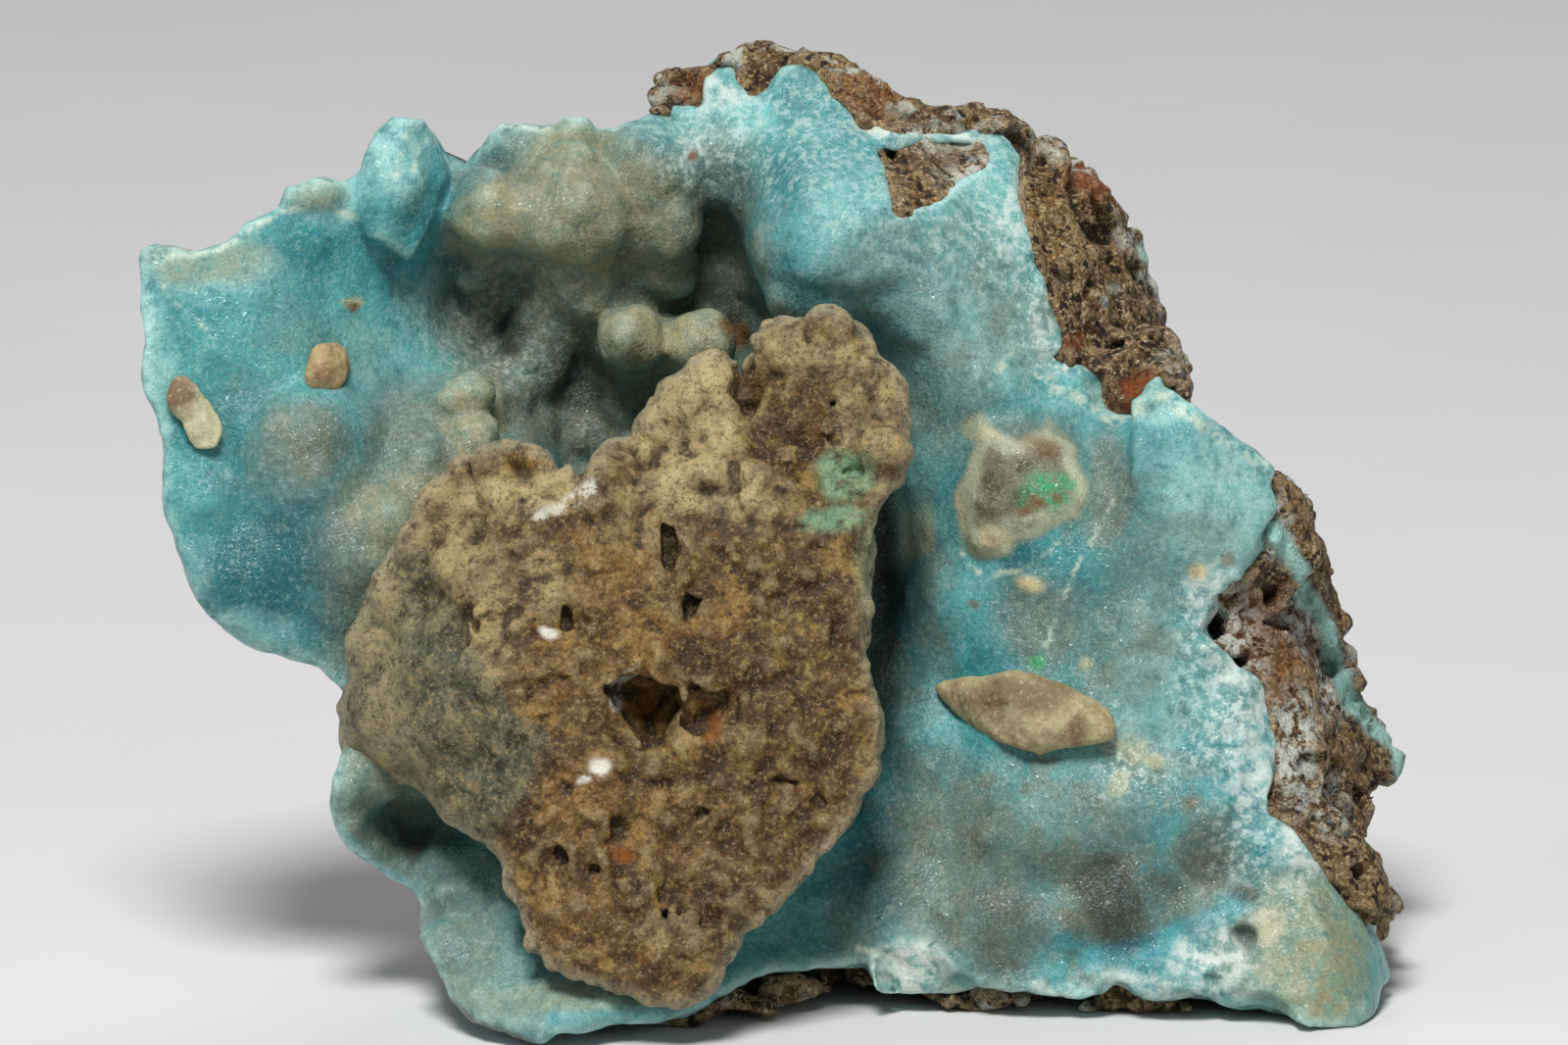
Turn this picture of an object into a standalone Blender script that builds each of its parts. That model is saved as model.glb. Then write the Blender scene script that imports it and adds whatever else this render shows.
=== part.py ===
"""Cabinet specimen: a turquoise hemimorphite crust that lines a broken vug in brown limonite.

Tables are in millimetres in the face frame: u runs right and v up along the broken face,
h is the height of the relief towards the viewer. Every piece is shaped lying on its back in
that frame, then tilted up to the lean of the face and set down on its feet, in metres.
"""
import math

import bmesh
import bpy
import numpy as np
from mathutils import Matrix, Vector, noise

# Driving dimensions
FACE_LEAN = math.radians(12.0)      # the face leans back from the vertical
FEET_DROP = 6.24                    # mm from the foot of the face down to the ground
DEPTH_SHIFT = 9.1                   # mm from the face's foot line to the middle of the depth
MM = 0.001
CRUST_THICKNESS = 5.6               # mm of hemimorphite on the rock
CRUST_LEAST = 3.6                   # mm left under the deepest hollows
MATRIX_SETBACK = 2.0                # mm the bare rock lies behind the face of the crust
RIM_THICKNESS = 6.5                 # mm of rock left at its thin edge
BLOCK_SEAT = 2.4                    # mm the block reaches into the crust before it is fitted
DOME_WIDTH = 26.0                   # mm in from the edge where the back reaches full depth
BLOCK_THICKNESS = 13.0              # mm of the fragment across the vug
CLEARANCE = 0.00042                 # m that touching pieces keep from one another
PLATE_HALF = 2.0                    # mm, half of each outline plate before it is shaped
COARSE_VOXEL = 1.15                 # mm
CHIP_VOXEL = 0.55                   # mm

# Crust: its broken outline, the window in it where bare rock shows, and its height
CRUST_OUTLINE = [
    (-65, 80.5), (-61, 80.6), (-57, 81.5), (-54.5, 83.5), (-51, 85), (-50.3, 87), (-45, 87.5),
    (-43, 88), (-42.5, 90.5), (-41, 92.8), (-39.5, 93.8), (-36.3, 93.5), (-34.8, 91),
    (-33.5, 90.2), (-31, 91), (-29, 93.4), (-24, 92.7), (-21, 94), (-17, 92.7), (-14, 94.8),
    (-11.7, 95), (-14.7, 98.5), (-12.5, 96.6), (-8.5, 95.8), (-7.4, 100), (-5.2, 100.9),
    (-3.6, 96), (-0.8, 96.2), (0.4, 100), (3, 99.8), (6, 97), (8, 93.8), (12, 92.6), (17, 92.8),
    (22, 93), (24.6, 90), (24, 86.5), (25.4, 82), (27, 77), (28.5, 74), (29, 71.5), (28, 69.6),
    (33, 67.8), (35.5, 65), (38.3, 67.6), (42, 64.6), (45, 62.4), (50.4, 58.6), (51, 55.5),
    (50, 51), (45.5, 47), (42.8, 42), (46, 38.5), (49.5, 36), (50.5, 29), (49, 23.5), (54, 18.6),
    (60, 13.2), (61.4, 7), (58.6, 2), (53, 2), (48.6, 4.2), (41, 5), (34, 6.2), (30, 4.6),
    (20, 6), (10, 5), (8.6, 7.6), (3, 8), (-3, 7), (-6.6, 5), (-10, 3.2), (-18, 3.4), (-24, 1.2),
    (-29.5, 2.6), (-31.5, 4), (-34, 7.2), (-35.5, 10.5), (-36.7, 13), (-36.5, 15.5),
    (-38, 17), (-41, 18.5), (-44.5, 22), (-45.5, 25), (-44.3, 30.5), (-43.2, 33), (-45, 36),
    (-47, 38.5), (-54, 41), (-57.5, 44), (-61, 50.5), (-62.3, 57), (-63, 63), (-64.8, 67.2),
]
CRUST_WINDOW = [
    (10.4, 91), (15, 91.4), (20.4, 91.2), (20.8, 89.4), (17.4, 87), (15.6, 84.4), (11.4, 84),
    (10.8, 87.6),
]
FACE_HEIGHTS = [
    # left lobe, from its broken edge in to the vug
    (-64.5, 79, 12), (-64.5, 68, 13), (-62, 55, 13), (-58, 44.5, 13), (-50, 40, 13),
    (-45, 36, 12), (-56, 70, 11.5), (-52, 60, 12.5), (-50, 50, 13.5), (-45, 76, 8.5),
    (-45, 68, 9.5), (-40, 60, 9.5), (-37, 66, 4), (-33, 70, 0), (-31, 77, -6), (-36, 84, 3),
    (-38, 92, 2), (-46, 86, 9), (-55, 82, 11), (-42, 48, 14), (-36, 52, 12),
    # grey top of the vug
    (-22, 84, -3), (-28, 90, -3), (-18, 92, -4), (-14, 87, -2), (-12, 80, -7), (-16, 74, -11),
    (-22, 74, -10), (-26, 67, -8), (-20, 63, -15), (-9, 77, -12), (-5, 71, -11), (-14, 95, -4),
    # upper right bulge and the ridge above it
    (5, 81, 7), (15, 82, 8), (0, 89, 3), (5, 95, 0), (0, 101, -5), (12, 94, -1), (22, 92, -3),
    (25, 83, 4), (22, 72, 9), (14, 70, 8),
    # bare rock down the right edge
    (30, 86, -2), (35, 84, -8), (39, 78, -14), (30, 90, -8), (25, 95, -12), (33, 76, -2),
    (37, 71, -7), (41.5, 69, -15), (44.5, 63, -15), (53, 57, -9), (57, 48, -14), (55, 44, -5),
    (52, 38, 5), (60, 38, -13), (52, 28, 9), (58, 28, -2), (64, 28, -14), (55, 20, 12),
    (60, 20, -1), (64, 12, -3), (62.5, 6, 4),
    # right face
    (12, 60, 4), (11, 45, 4), (11, 32, 6), (12, 20, 11), (25, 62, 11), (24, 50, 12),
    (24, 35, 14), (32, 60, 10), (38, 62, 10), (45, 58, 7), (50, 56, 1), (40, 50, 12),
    (45, 45, 10), (45, 35, 12), (35, 35, 14), (35, 20, 16), (24, 20, 16), (15, 12, 15),
    (24, 8, 17), (45, 15, 17), (55, 12, 17), (58, 4, 20), (50, 5, 19), (40, 5, 18),
    (20, 5, 17), (5, 10, 14), (-3, 9, 16), (50, 48, 5),
    # behind the block
    (0, 62, -7), (-10, 60, -11), (-12, 45, 9), (0, 42, 6), (-5, 25, 13), (-20, 45, 12),
    (-20, 25, 17), (-30, 40, 11), (-30, 55, 8), (5, 68, -4),
    # lower left
    (-44.5, 25, 16), (-38, 22, 10), (-36, 28, 12), (-33, 14, 14), (-35, 10, 15), (-29, 14, 17),
    (-30, 5, 25), (-25, 1.5, 30), (-20, 5, 28), (-12, 4, 26), (-4, 6, 20),
]
# Lumps and hollows: centre u, centre v, half width, half height, rise or depth
CRUST_LUMPS = [
    # left lobe
    (-47.5, 59.5, 7.5, 7, 3.2), (-58, 56, 3.4, 3.2, 1.2), (-38.3, 88.5, 3.2, 7, 6),
    (-47, 86.6, 2.6, 1.6, 2.0), (-60, 73, 5, 8, 1.0), (-52, 73, 7, 9, 1.4),
    (-43, 52, 6, 7, 2.5), (-37, 56, 5, 4.5, 3), (-55, 47.5, 5.5, 4.5, 1.6),
    # grey botryoids
    (-22, 82.6, 10.8, 10.4, 9.5), (-29.6, 83.4, 4.4, 4.6, 9), (-28.8, 77.8, 3.4, 3.2, 8),
    (-27, 90, 5.4, 3.8, 5), (-20.5, 91, 4, 3.4, 5.5), (-14, 88, 6.2, 6, 7),
    (-22, 75, 6.4, 4.6, 9), (-14.5, 78.4, 5, 4.8, 8), (-9.8, 90.6, 3.8, 3.6, 3),
    (-16.4, 83.4, 5, 5.2, 7.5), (-32, 65.3, 3.4, 3.3, 9), (-31.3, 60.4, 3.6, 3.4, 8),
    (-36.4, 62, 3.8, 3.8, 4.5), (-26.5, 66, 3.8, 5, 7.5), (-26, 60.6, 3.8, 3.2, 8),
    (-16, 64.6, 3, 6.6, 13), (-15.5, 71.6, 3.9, 4.2, 19), (-9.6, 71, 3.6, 3.6, 18),
    # upper right bulge
    (5, 81, 10, 8.6, 7), (14.5, 76.5, 8, 7, 3), (2.5, 88.6, 6.4, 5.4, 3.6), (13.6, 81, 7, 6, 3),
    (2, 96, 3, 4, 1.6), (20, 79, 5, 5, 1.6), (-3.4, 90.5, 4, 4.4, 1.6), (18.4, 68, 6, 5, 2),
    # right face
    (24.6, 56.4, 7.6, 6.8, 1.9), (20.4, 51.3, 2.2, 1.6, 1.2), (42, 58, 8.4, 8.6, 2.6),
    (38.4, 65.6, 2.8, 2.6, 2.4), (33, 47, 7, 6, 1.2), (16, 45, 4.6, 6, 1.4), (38, 40, 7, 7, 1.4),
    (24.7, 46.8, 1.7, 1.2, 0.8), (44.5, 50, 5, 4.4, 1.4), (40.3, 24, 6, 5, 1.8),
    (28, 22, 6.5, 6, 1.8), (18, 26, 6, 6, 1.6), (33, 14, 6, 5, 1.6), (21, 12, 5, 4.6, 1.8),
    (47, 30, 4, 8, 1.4), (43.4, 12.6, 4.6, 3.8, 1.8), (54, 9, 6, 7, 3.2), (13, 7.6, 4, 2.8, 2.6),
    (8, 14, 5, 5, 1.6), (47.6, 6.8, 3.2, 2.6, 2.2), (40, 6.6, 3, 2.4, 1.8), (51, 21, 4, 4, 1.6),
    # lower left
    (-42.4, 26.4, 3.6, 3.4, 3), (-33.4, 16.6, 4.2, 4.4, 2.8), (-38.4, 29.6, 3.6, 3.4, 2.6),
    (-30, 9, 5, 5.4, 2.4), (-24, 4.4, 5, 3.2, 1.6), (-41.6, 21.2, 2.8, 2.4, 2), (-27, 15, 3, 4, 2),
]
CRUST_HOLLOWS = [
    (-31, 75.4, 5.4, 7, 5), (-19.8, 63, 3, 4.6, 6), (-7.4, 79.4, 4.6, 6.6, 4),
    (-27.6, 88.4, 2.2, 1.8, 2.4), (-38, 23.2, 4.4, 4, 5), (-34.6, 10.8, 2, 2.6, 1.4),
    (46.4, 11, 1.8, 1.3, 1.4), (11.4, 50, 2.6, 10, 3), (-34.4, 57.6, 1.8, 2, 2),
    (31, 41, 3.4, 7, 1.2), (19, 33.5, 3.6, 3, 0.9),
]

# Matrix: its outline, how far back it goes, and its larger lumps and pits
MATRIX_OUTLINE = [
    (-60, 66), (-60.5, 77), (-62.4, 81), (-60.6, 82.2), (-58.4, 80.6), (-50, 83), (-44, 86),
    (-38, 89), (-30, 88.4), (-20, 91), (-14.2, 93.6), (-13, 99.6), (-8, 99.6), (-5, 101),
    (-0.3, 102.2), (2, 100.6), (4.5, 101), (10, 97.2), (14.5, 94.6), (21.5, 95.3), (25, 94.9),
    (28, 92.2), (34, 87.2), (37.5, 85.9), (38.5, 83), (40.3, 77), (42, 68), (44.3, 63.5),
    (46.5, 61), (53, 57.6), (54.5, 54), (57, 48), (58.5, 45.5), (60.3, 37.5), (63, 31.5),
    (64.4, 29.5), (64.4, 26), (61.2, 23.2), (60.5, 21.5), (63.2, 17.5), (64.4, 12), (62.8, 8.6),
    (62.6, 6), (60, 4), (55, 1.8), (48, 1.6), (35, 2.2), (20, 2.4), (10, 3.2), (-5, 3.2),
    (-9, 2), (-22, 1), (-26.8, 0), (-29.8, 0.8), (-29, 8), (-31.5, 17), (-37, 24), (-38, 36),
    (-46, 42), (-53, 46.5), (-57, 54), (-59, 60),
]
BACK_DEPTHS = [
    (-58, 70, 2), (-56, 58, 2), (-42, 66, 15), (-48, 80, 9), (-28, 84, 25), (-20, 68, 30),
    (0, 96, 19), (0, 84, 27), (20, 86, 25), (34, 76, 26), (10, 62, 34), (42, 50, 31),
    (48, 30, 33), (56, 14, 30), (10, 30, 35), (-20, 40, 26), (-34, 30, 12), (-20, 14, 20),
    (30, 12, 34), (-40, 48, 10),
]
MATRIX_LUMPS = [
    (33, 84, 6, 6, 2.6), (37, 79, 5, 5, 2.2), (34, 73, 5, 6, 2.4), (39.6, 72, 4, 5, 2),
    (28, 91, 5, 3.6, 2), (15.6, 88, 5, 4.4, 1.6), (7, 97, 4, 3.4, 2), (-3, 99.4, 3.4, 3.4, 2.4),
    (18, 94.4, 5, 2.4, 1.6), (47, 41.4, 5, 3.6, 2.2), (53, 37, 3, 9, 2.6), (57, 23, 4.6, 5, 2.4),
    (58, 12, 4, 5, 2), (55, 51, 4, 6, 2), (61, 30, 3.6, 4, 2), (36.6, 66.4, 2.8, 2.4, 2),
    (30, 78.6, 4, 4, 2), (42, 66, 3, 4, 2),
]
MATRIX_PITS = [
    (27, 89.6, 2.2, 1.6, 4), (34, 77.4, 1.8, 1.5, 2.4), (37.4, 74, 1.6, 1.6, 2.2),
    (31, 74.8, 1.6, 1.4, 2), (36, 69.4, 1.8, 1.5, 2.2), (55, 28.7, 1.8, 1.6, 3),
    (56.4, 33.6, 1.5, 1.8, 2.4), (53.6, 48.6, 1.6, 2, 2.2), (58, 18, 1.8, 1.8, 2.4),
    (-10.6, 97.8, 2.6, 1.8, 2.6), (34, 4.6, 2.2, 1.6, 2.4), (44.6, 5.2, 2.6, 1.6, 2.4),
    (13, 87, 1.6, 1.4, 1.8), (38.6, 81, 1.5, 1.6, 2), (59, 26, 1.6, 1.6, 2.2),
]

# Block across the vug, coated with druse on its left flank
BLOCK_OUTLINE = [
    (-38.3, 53), (-36.6, 55), (-34.5, 56.3), (-32.5, 58), (-30, 58.2), (-28.4, 60.2),
    (-25, 58.8), (-23.5, 59.3), (-21, 57.2), (-17.5, 60.5), (-13.6, 61.5), (-12.6, 66),
    (-9, 69), (-5.4, 70), (-4.1, 66.6), (-2.6, 66.2), (-2.4, 72.4), (-0.4, 74.2), (1.8, 73),
    (5, 74.3), (8, 73.7), (9.6, 70.5), (12, 67.5), (13.3, 61), (12.5, 57), (10.3, 55.5),
    (9.3, 48), (9.2, 42), (10.7, 31), (8.5, 26), (5.8, 20), (0, 14), (-3.5, 11), (-6, 6.5),
    (-9.4, 2.6), (-14, 3.6), (-20.5, 5.5), (-24.5, 7.8), (-27, 14), (-29, 20), (-34, 23.5),
    (-37, 26.3), (-41.6, 26.8), (-43.4, 29.4), (-42, 33), (-42.4, 44), (-41.2, 47), (-38.8, 50),
]
BLOCK_HEIGHTS = [
    (-15, 5, 31), (-24, 9, 30), (-5, 12, 30), (-15, 20, 30.5), (0, 20, 28), (8, 30, 27),
    (9, 45, 25.5), (12, 62, 21), (8, 72, 18), (0, 72, 19), (-10, 65, 20), (-15, 60, 22.5),
    (-20, 56, 25), (-10, 45, 27.5), (0, 52, 25), (-20, 35, 29), (-5, 30, 28.5), (-27, 45, 27.5),
    (-24, 25, 30), (-27, 21, 28.5), (-33, 45, 25), (-37, 45, 20.5), (-42, 45, 13),
    (-43, 36, 13), (-38, 35, 20.5), (-33, 35, 25.5), (-29, 31, 28), (-44, 29, 12.5),
    (-37, 28, 18), (-30, 23.5, 24), (-37, 52, 17), (-32, 56, 20), (-25, 58, 22.5),
]
BLOCK_LUMPS = [
    (-33.6, 55, 4, 3.4, 2.6), (-28.6, 57.4, 3.4, 3, 3), (-36.6, 50.6, 3.6, 3.6, 2.4),
    (-23.6, 57.6, 2.6, 2, 2), (-17, 58.4, 3.4, 2.6, 2.2), (-9, 65.4, 3.6, 4, 3.2),
    (-6, 60, 3.6, 3.4, 2.4), (-10.4, 57.6, 3.4, 3, 1.8), (0.4, 71.6, 2.6, 2.6, 2.2),
    (6, 70, 3.6, 4.2, 1.8), (-1, 56.4, 3, 2.6, 1.6), (5.4, 62.4, 4, 4, 1.4),
    (10.4, 60, 2.8, 4, 1.4), (-39, 40, 3.6, 6, 1.8), (-36, 31, 5, 4.4, 2.4),
    (-41.6, 30, 3, 3, 2), (-40.6, 45.4, 2.8, 3.2, 1.8), (-20.6, 55.2, 4.6, 2.2, 1.4),
    (-33, 40, 3.4, 5, 1.2), (-26.6, 52, 5, 3.6, 1.2), (-12, 10, 7, 5, 1), (2, 33, 6, 6, 0.9),
    (-27, 38, 3, 5, 0.9), (-3, 41, 5, 4, 0.8), (-17.6, 46.4, 5, 4, 0.9), (-20, 13, 5, 5, 0.8),
]
BLOCK_PITS = [
    (-13.4, 33.6, 4.2, 4, 4.6), (-6.8, 34, 2.5, 2.7, 2.8), (-11.2, 50.4, 1.2, 2.4, 3.4),
    (-22.3, 19.8, 1.6, 1.4, 2), (-18.6, 18.4, 1.4, 1.2, 1.8), (-21.2, 43, 1.3, 1.6, 1.8),
    (-8.8, 44.8, 1.5, 1.3, 1.8), (0.4, 44.8, 1.4, 1, 1.4), (1.3, 26.8, 1.8, 1, 1.4),
    (7, 58.3, 1.8, 1.5, 2.4), (-30.4, 51.8, 2.6, 2.4, 1.8), (-35.6, 37, 2.6, 4.6, 1.2),
]

# Loose fragments on the crust: name, outline, rise above the crust
CHIPS = [
    ("cream_chip", 2.3, [(-62.5, 65.5), (-60.5, 68.2), (-59.2, 67.4), (-56, 62), (-56, 60.8),
                         (-58.5, 60), (-60.2, 63)]),
    ("tan_chip", 2.1, [(-48.6, 67.3), (-46.6, 70.4), (-45.2, 71), (-43.9, 69.4),
                       (-44.8, 67.4), (-47, 66.2)]),
    ("cream_splinter", 3.0, [(14.4, 36.4), (15.6, 37.2), (21, 37.4), (25, 37.9), (29.4, 36),
                             (33.2, 33.8), (34.1, 32.2), (33.4, 31), (28, 30.2), (25.6, 29.6),
                             (22.8, 30.4), (20, 32.4), (16.4, 34)]),
]

# Triangles before the cuts, and how far each piece draws in towards its back, as a share
TRIANGLES = {"limonite_matrix": 1400, "hemimorphite_crust": 3800, "front_block": 1800,
             "cream_chip": 120, "tan_chip": 100, "cream_splinter": 200}
TAPER = {"limonite_matrix": 0.0, "hemimorphite_crust": 0.0, "front_block": 0.14,
         "cream_chip": 0.1, "tan_chip": 0.1, "cream_splinter": 0.1}
ROUGHNESS = {"limonite_matrix": 1.6, "hemimorphite_crust": 0.7, "front_block": 1.1,
             "cream_chip": 0.4, "tan_chip": 0.4, "cream_splinter": 0.4}     # mm
ROUGH_SIZE = 5.0                    # mm, size of the broken facets and knobs

# Feet: x, y and radius in mm of the flat places that the specimen stands on
FEET = [(-21, -29, 5), (54, -22, 6), (30, 16, 7), (-2, 12, 7)]
UNDERSIDE_RELIEF = 1.6              # mm the underside rises between the feet
FRONT_SILL = -16.0                  # mm, y in front of which the whole base is flat
GROUND_SIZE = (0.18, 0.126, 0.03)   # m


def clear_scene():
    for obj in list(bpy.context.scene.objects):
        bpy.data.objects.remove(obj, do_unlink=True)


def principled(name, colour, roughness, subsurface=0.0):
    material = bpy.data.materials.new(name)
    material.use_nodes = True
    shader = material.node_tree.nodes["Principled BSDF"]
    shader.inputs["Base Color"].default_value = (*colour, 1.0)
    shader.inputs["Roughness"].default_value = roughness
    shader.inputs["Subsurface Weight"].default_value = subsurface
    shader.inputs["Subsurface Scale"].default_value = 0.003
    return material


def crust_material():
    return principled("turquoise_hemimorphite", (0.19, 0.47, 0.50), 0.38, subsurface=0.3)


def matrix_material():
    return principled("brown_limonite", (0.16, 0.10, 0.055), 0.85)


def block_material():
    return principled("druse_coated_limonite", (0.30, 0.23, 0.14), 0.6)


def chip_material():
    return principled("cream_fragment", (0.56, 0.51, 0.36), 0.6)


def thin_plate(samples):
    """Smooth sheet through the samples (u, v, height), as a function of u and v arrays."""
    table = np.array(samples, dtype=float)
    knots, heights = table[:, :2], table[:, 2]
    count = len(knots)

    def kernel(u, v):
        squared = (u[:, None] - knots[:, 0]) ** 2 + (v[:, None] - knots[:, 1]) ** 2
        return squared * np.log(squared + 1e-9) * 0.5

    def plane(u, v):
        return np.column_stack([np.ones_like(u), u, v])

    system = np.zeros((count + 3, count + 3))
    system[:count, :count] = kernel(knots[:, 0], knots[:, 1]) + 4.0 * np.eye(count)
    system[:count, count:] = plane(knots[:, 0], knots[:, 1])
    system[count:, :count] = system[:count, count:].T
    weights = np.linalg.solve(system, np.concatenate([heights, np.zeros(3)]))
    return lambda u, v: kernel(u, v) @ weights[:count] + plane(u, v) @ weights[count:]


def smooth_max(a, b, width):
    share = np.clip(0.5 + 0.5 * (b - a) / width, 0.0, 1.0)
    return a * (1 - share) + b * share + width * share * (1 - share)


def lumps(u, v, table, width=0.9):
    """Height of the rounded lumps over the sheet they grew on."""
    total = np.zeros_like(u)
    for cu, cv, half_u, half_v, rise in table:
        reach = ((u - cu) / half_u) ** 2 + ((v - cv) / half_v) ** 2
        dome = rise * np.sqrt(np.clip(1 - reach, 0.0, 1.0))
        total = np.where(reach < 1.4, smooth_max(total, dome, width) - width * 0.25, total)
    return np.maximum(total, 0.0)


def hollows(u, v, table):
    """Depth of the rounded hollows below the sheet."""
    total = np.zeros_like(u)
    for cu, cv, half_u, half_v, depth in table:
        reach = ((u - cu) / half_u) ** 2 + ((v - cv) / half_v) ** 2
        total = np.maximum(total, depth * np.clip(1 - reach, 0.0, 1.0) ** 0.7)
    return total


def rock_noise(u, v, size, layer=0.0):
    """Rough broken-rock noise, about -1 to 1, with features of the given size in mm."""
    return np.array([
        noise.noise(Vector((a / size, b / size, layer)))
        + 0.5 * noise.noise(Vector((2.1 * a / size, 2.1 * b / size, layer + 5.0)))
        for a, b in zip(u, v)
    ])


def edge_distance(u, v, outline):
    """Distance in mm from each point to the closed outline."""
    nearest = np.full(len(u), 1e9)
    for (au, av), (bu, bv) in zip(outline, outline[1:] + outline[:1]):
        run_u, run_v = bu - au, bv - av
        share = ((u - au) * run_u + (v - av) * run_v) / (run_u ** 2 + run_v ** 2)
        share = np.clip(share, 0.0, 1.0)
        nearest = np.minimum(nearest, np.hypot(u - au - share * run_u, v - av - share * run_v))
    return nearest


def is_inside(u, v, outline):
    """Even-odd test of which points lie inside the closed outline."""
    inside = np.zeros(len(u), dtype=bool)
    for (au, av), (bu, bv) in zip(outline, outline[1:] + outline[:1]):
        crosses = (av > v) != (bv > v)
        inside ^= crosses & (u < au + (v - av) * (bu - au) / (bv - av if bv != av else 1.0))
    return inside


def beyond_crust(u, v):
    """Distance in mm past the broken edge of the crust, 0 where crust covers the rock."""
    covered = is_inside(u, v, CRUST_OUTLINE) & ~is_inside(u, v, CRUST_WINDOW)
    reach = np.minimum(edge_distance(u, v, CRUST_OUTLINE), edge_distance(u, v, CRUST_WINDOW))
    return np.where(covered, 0.0, reach)


face_sheet = thin_plate(FACE_HEIGHTS)
block_sheet = thin_plate(BLOCK_HEIGHTS)
back_sheet = thin_plate(BACK_DEPTHS)


def crust_front(u, v):
    wavy = 0.2 * rock_noise(u, v, 6.0)
    return face_sheet(u, v) + lumps(u, v, CRUST_LUMPS) - hollows(u, v, CRUST_HOLLOWS) + wavy


def crust_back(u, v):
    return np.minimum(face_sheet(u, v) - CRUST_THICKNESS, crust_front(u, v) - CRUST_LEAST)


def matrix_front(u, v):
    rough = 1.3 * rock_noise(u, v, 5.5, layer=3.0)
    bare = face_sheet(u, v) - MATRIX_SETBACK + rough
    bare += lumps(u, v, MATRIX_LUMPS) - hollows(u, v, MATRIX_PITS)
    return np.minimum(bare, crust_front(u, v) - 0.5 * CRUST_LEAST + beyond_crust(u, v))


def matrix_back(u, v):
    inward = np.clip(edge_distance(u, v, MATRIX_OUTLINE) / DOME_WIDTH, 0.0, 1.0)
    fullness = np.sqrt(1 - (1 - inward) ** 2)
    rim = face_sheet(u, v) - MATRIX_SETBACK - RIM_THICKNESS
    full = -back_sheet(u, v)
    rough = 3.4 * rock_noise(u, v, 15.0, layer=9.0) + 1.2 * rock_noise(u, v, 6.0, layer=7.0)
    return np.minimum(rim + (full - rim) * fullness + rough * fullness, rim)


def block_front(u, v):
    rough = 0.5 * rock_noise(u, v, 4.0, layer=1.0)
    return block_sheet(u, v) + lumps(u, v, BLOCK_LUMPS) - hollows(u, v, BLOCK_PITS) + rough


def block_back(u, v):
    rough = 0.8 * rock_noise(u, v, 7.0, layer=2.0)
    underside = block_sheet(u, v) - BLOCK_THICKNESS + rough
    return np.minimum(np.maximum(underside, crust_front(u, v) - BLOCK_SEAT),
                      block_front(u, v) - BLOCK_SEAT)


def collection(name):
    made = bpy.data.collections.new(name)
    bpy.context.scene.collection.children.link(made)
    return made


def as_mesh_object(obj, name):
    """Replace an object by a plain mesh object of its evaluated shape."""
    depsgraph = bpy.context.evaluated_depsgraph_get()
    mesh = bpy.data.meshes.new_from_object(obj.evaluated_get(depsgraph))
    mesh.transform(obj.matrix_world)
    made = bpy.data.objects.new(name, mesh)
    bpy.context.scene.collection.objects.link(made)
    bpy.data.objects.remove(obj, do_unlink=True)
    return made


def outline_plate(name, loops):
    """Flat plate with the given outlines; loops after the first are windows in it."""
    curve = bpy.data.curves.new(name, "CURVE")
    curve.dimensions = "2D"
    curve.fill_mode = "BOTH"
    curve.extrude = PLATE_HALF
    for loop in loops:
        spline = curve.splines.new("POLY")
        spline.points.add(len(loop) - 1)
        for point, (u, v) in zip(spline.points, loop):
            point.co = (u, v, 0.0, 1.0)
        spline.use_cyclic_u = True
    obj = bpy.data.objects.new(name, curve)
    bpy.context.scene.collection.objects.link(obj)
    plate = as_mesh_object(obj, name)
    body = bmesh.new()
    body.from_mesh(plate.data)
    bmesh.ops.remove_doubles(body, verts=body.verts, dist=0.0001)
    body.to_mesh(plate.data)
    body.free()
    return plate


def remeshed(obj, voxel):
    modifier = obj.modifiers.new("Remesh", "REMESH")
    modifier.mode = "VOXEL"
    modifier.voxel_size = voxel
    return as_mesh_object(obj, obj.name)


def raised(obj, front, back, taper):
    """Move the plate's vertices so that its faces follow the front and back reliefs.

    The taper draws the sides in towards the back by that share of the piece's half width.
    """
    count = len(obj.data.vertices)
    points = np.empty(count * 3)
    obj.data.vertices.foreach_get("co", points)
    points = points.reshape(count, 3)
    u, v = points[:, 0].copy(), points[:, 1].copy()
    share = np.clip(0.5 + 0.5 * points[:, 2] / (0.9 * PLATE_HALF), 0.0, 1.0)
    points[:, 2] = back(u, v) * (1 - share) + front(u, v) * share
    points[:, 0] -= (u - u.mean()) * taper * (1 - share)
    points[:, 1] -= (v - v.mean()) * taper * (1 - share)
    obj.data.vertices.foreach_set("co", points.ravel())
    obj.data.update()


def roughened(obj, strength):
    """Add broken, knobbly relief along the surface's own directions, sides included."""
    texture = bpy.data.textures.new(obj.name + " knobs", "CLOUDS")
    texture.noise_scale = ROUGH_SIZE
    texture.noise_depth = 1
    displace = obj.modifiers.new("Knobs", "DISPLACE")
    displace.texture = texture
    displace.texture_coords = "LOCAL"
    displace.strength = strength
    displace.mid_level = 0.5


def thinned(obj, triangles):
    count = sum(len(face.vertices) - 2 for face in obj.data.polygons)
    decimate = obj.modifiers.new("Decimate", "DECIMATE")
    decimate.ratio = min(1.0, triangles / count)
    decimate.use_collapse_triangulate = True
    return as_mesh_object(obj, obj.name)


def stand_up(obj):
    """Tilt the piece from its back to the lean of the face, in metres, feet on the ground."""
    tilt = Matrix.Rotation(math.pi / 2 - FACE_LEAN, 4, "X")
    drop = Matrix.Translation((0.0, -DEPTH_SHIFT, -FEET_DROP))
    obj.data.transform(Matrix.Scale(MM, 4) @ drop @ tilt)
    obj.data.update()


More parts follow.
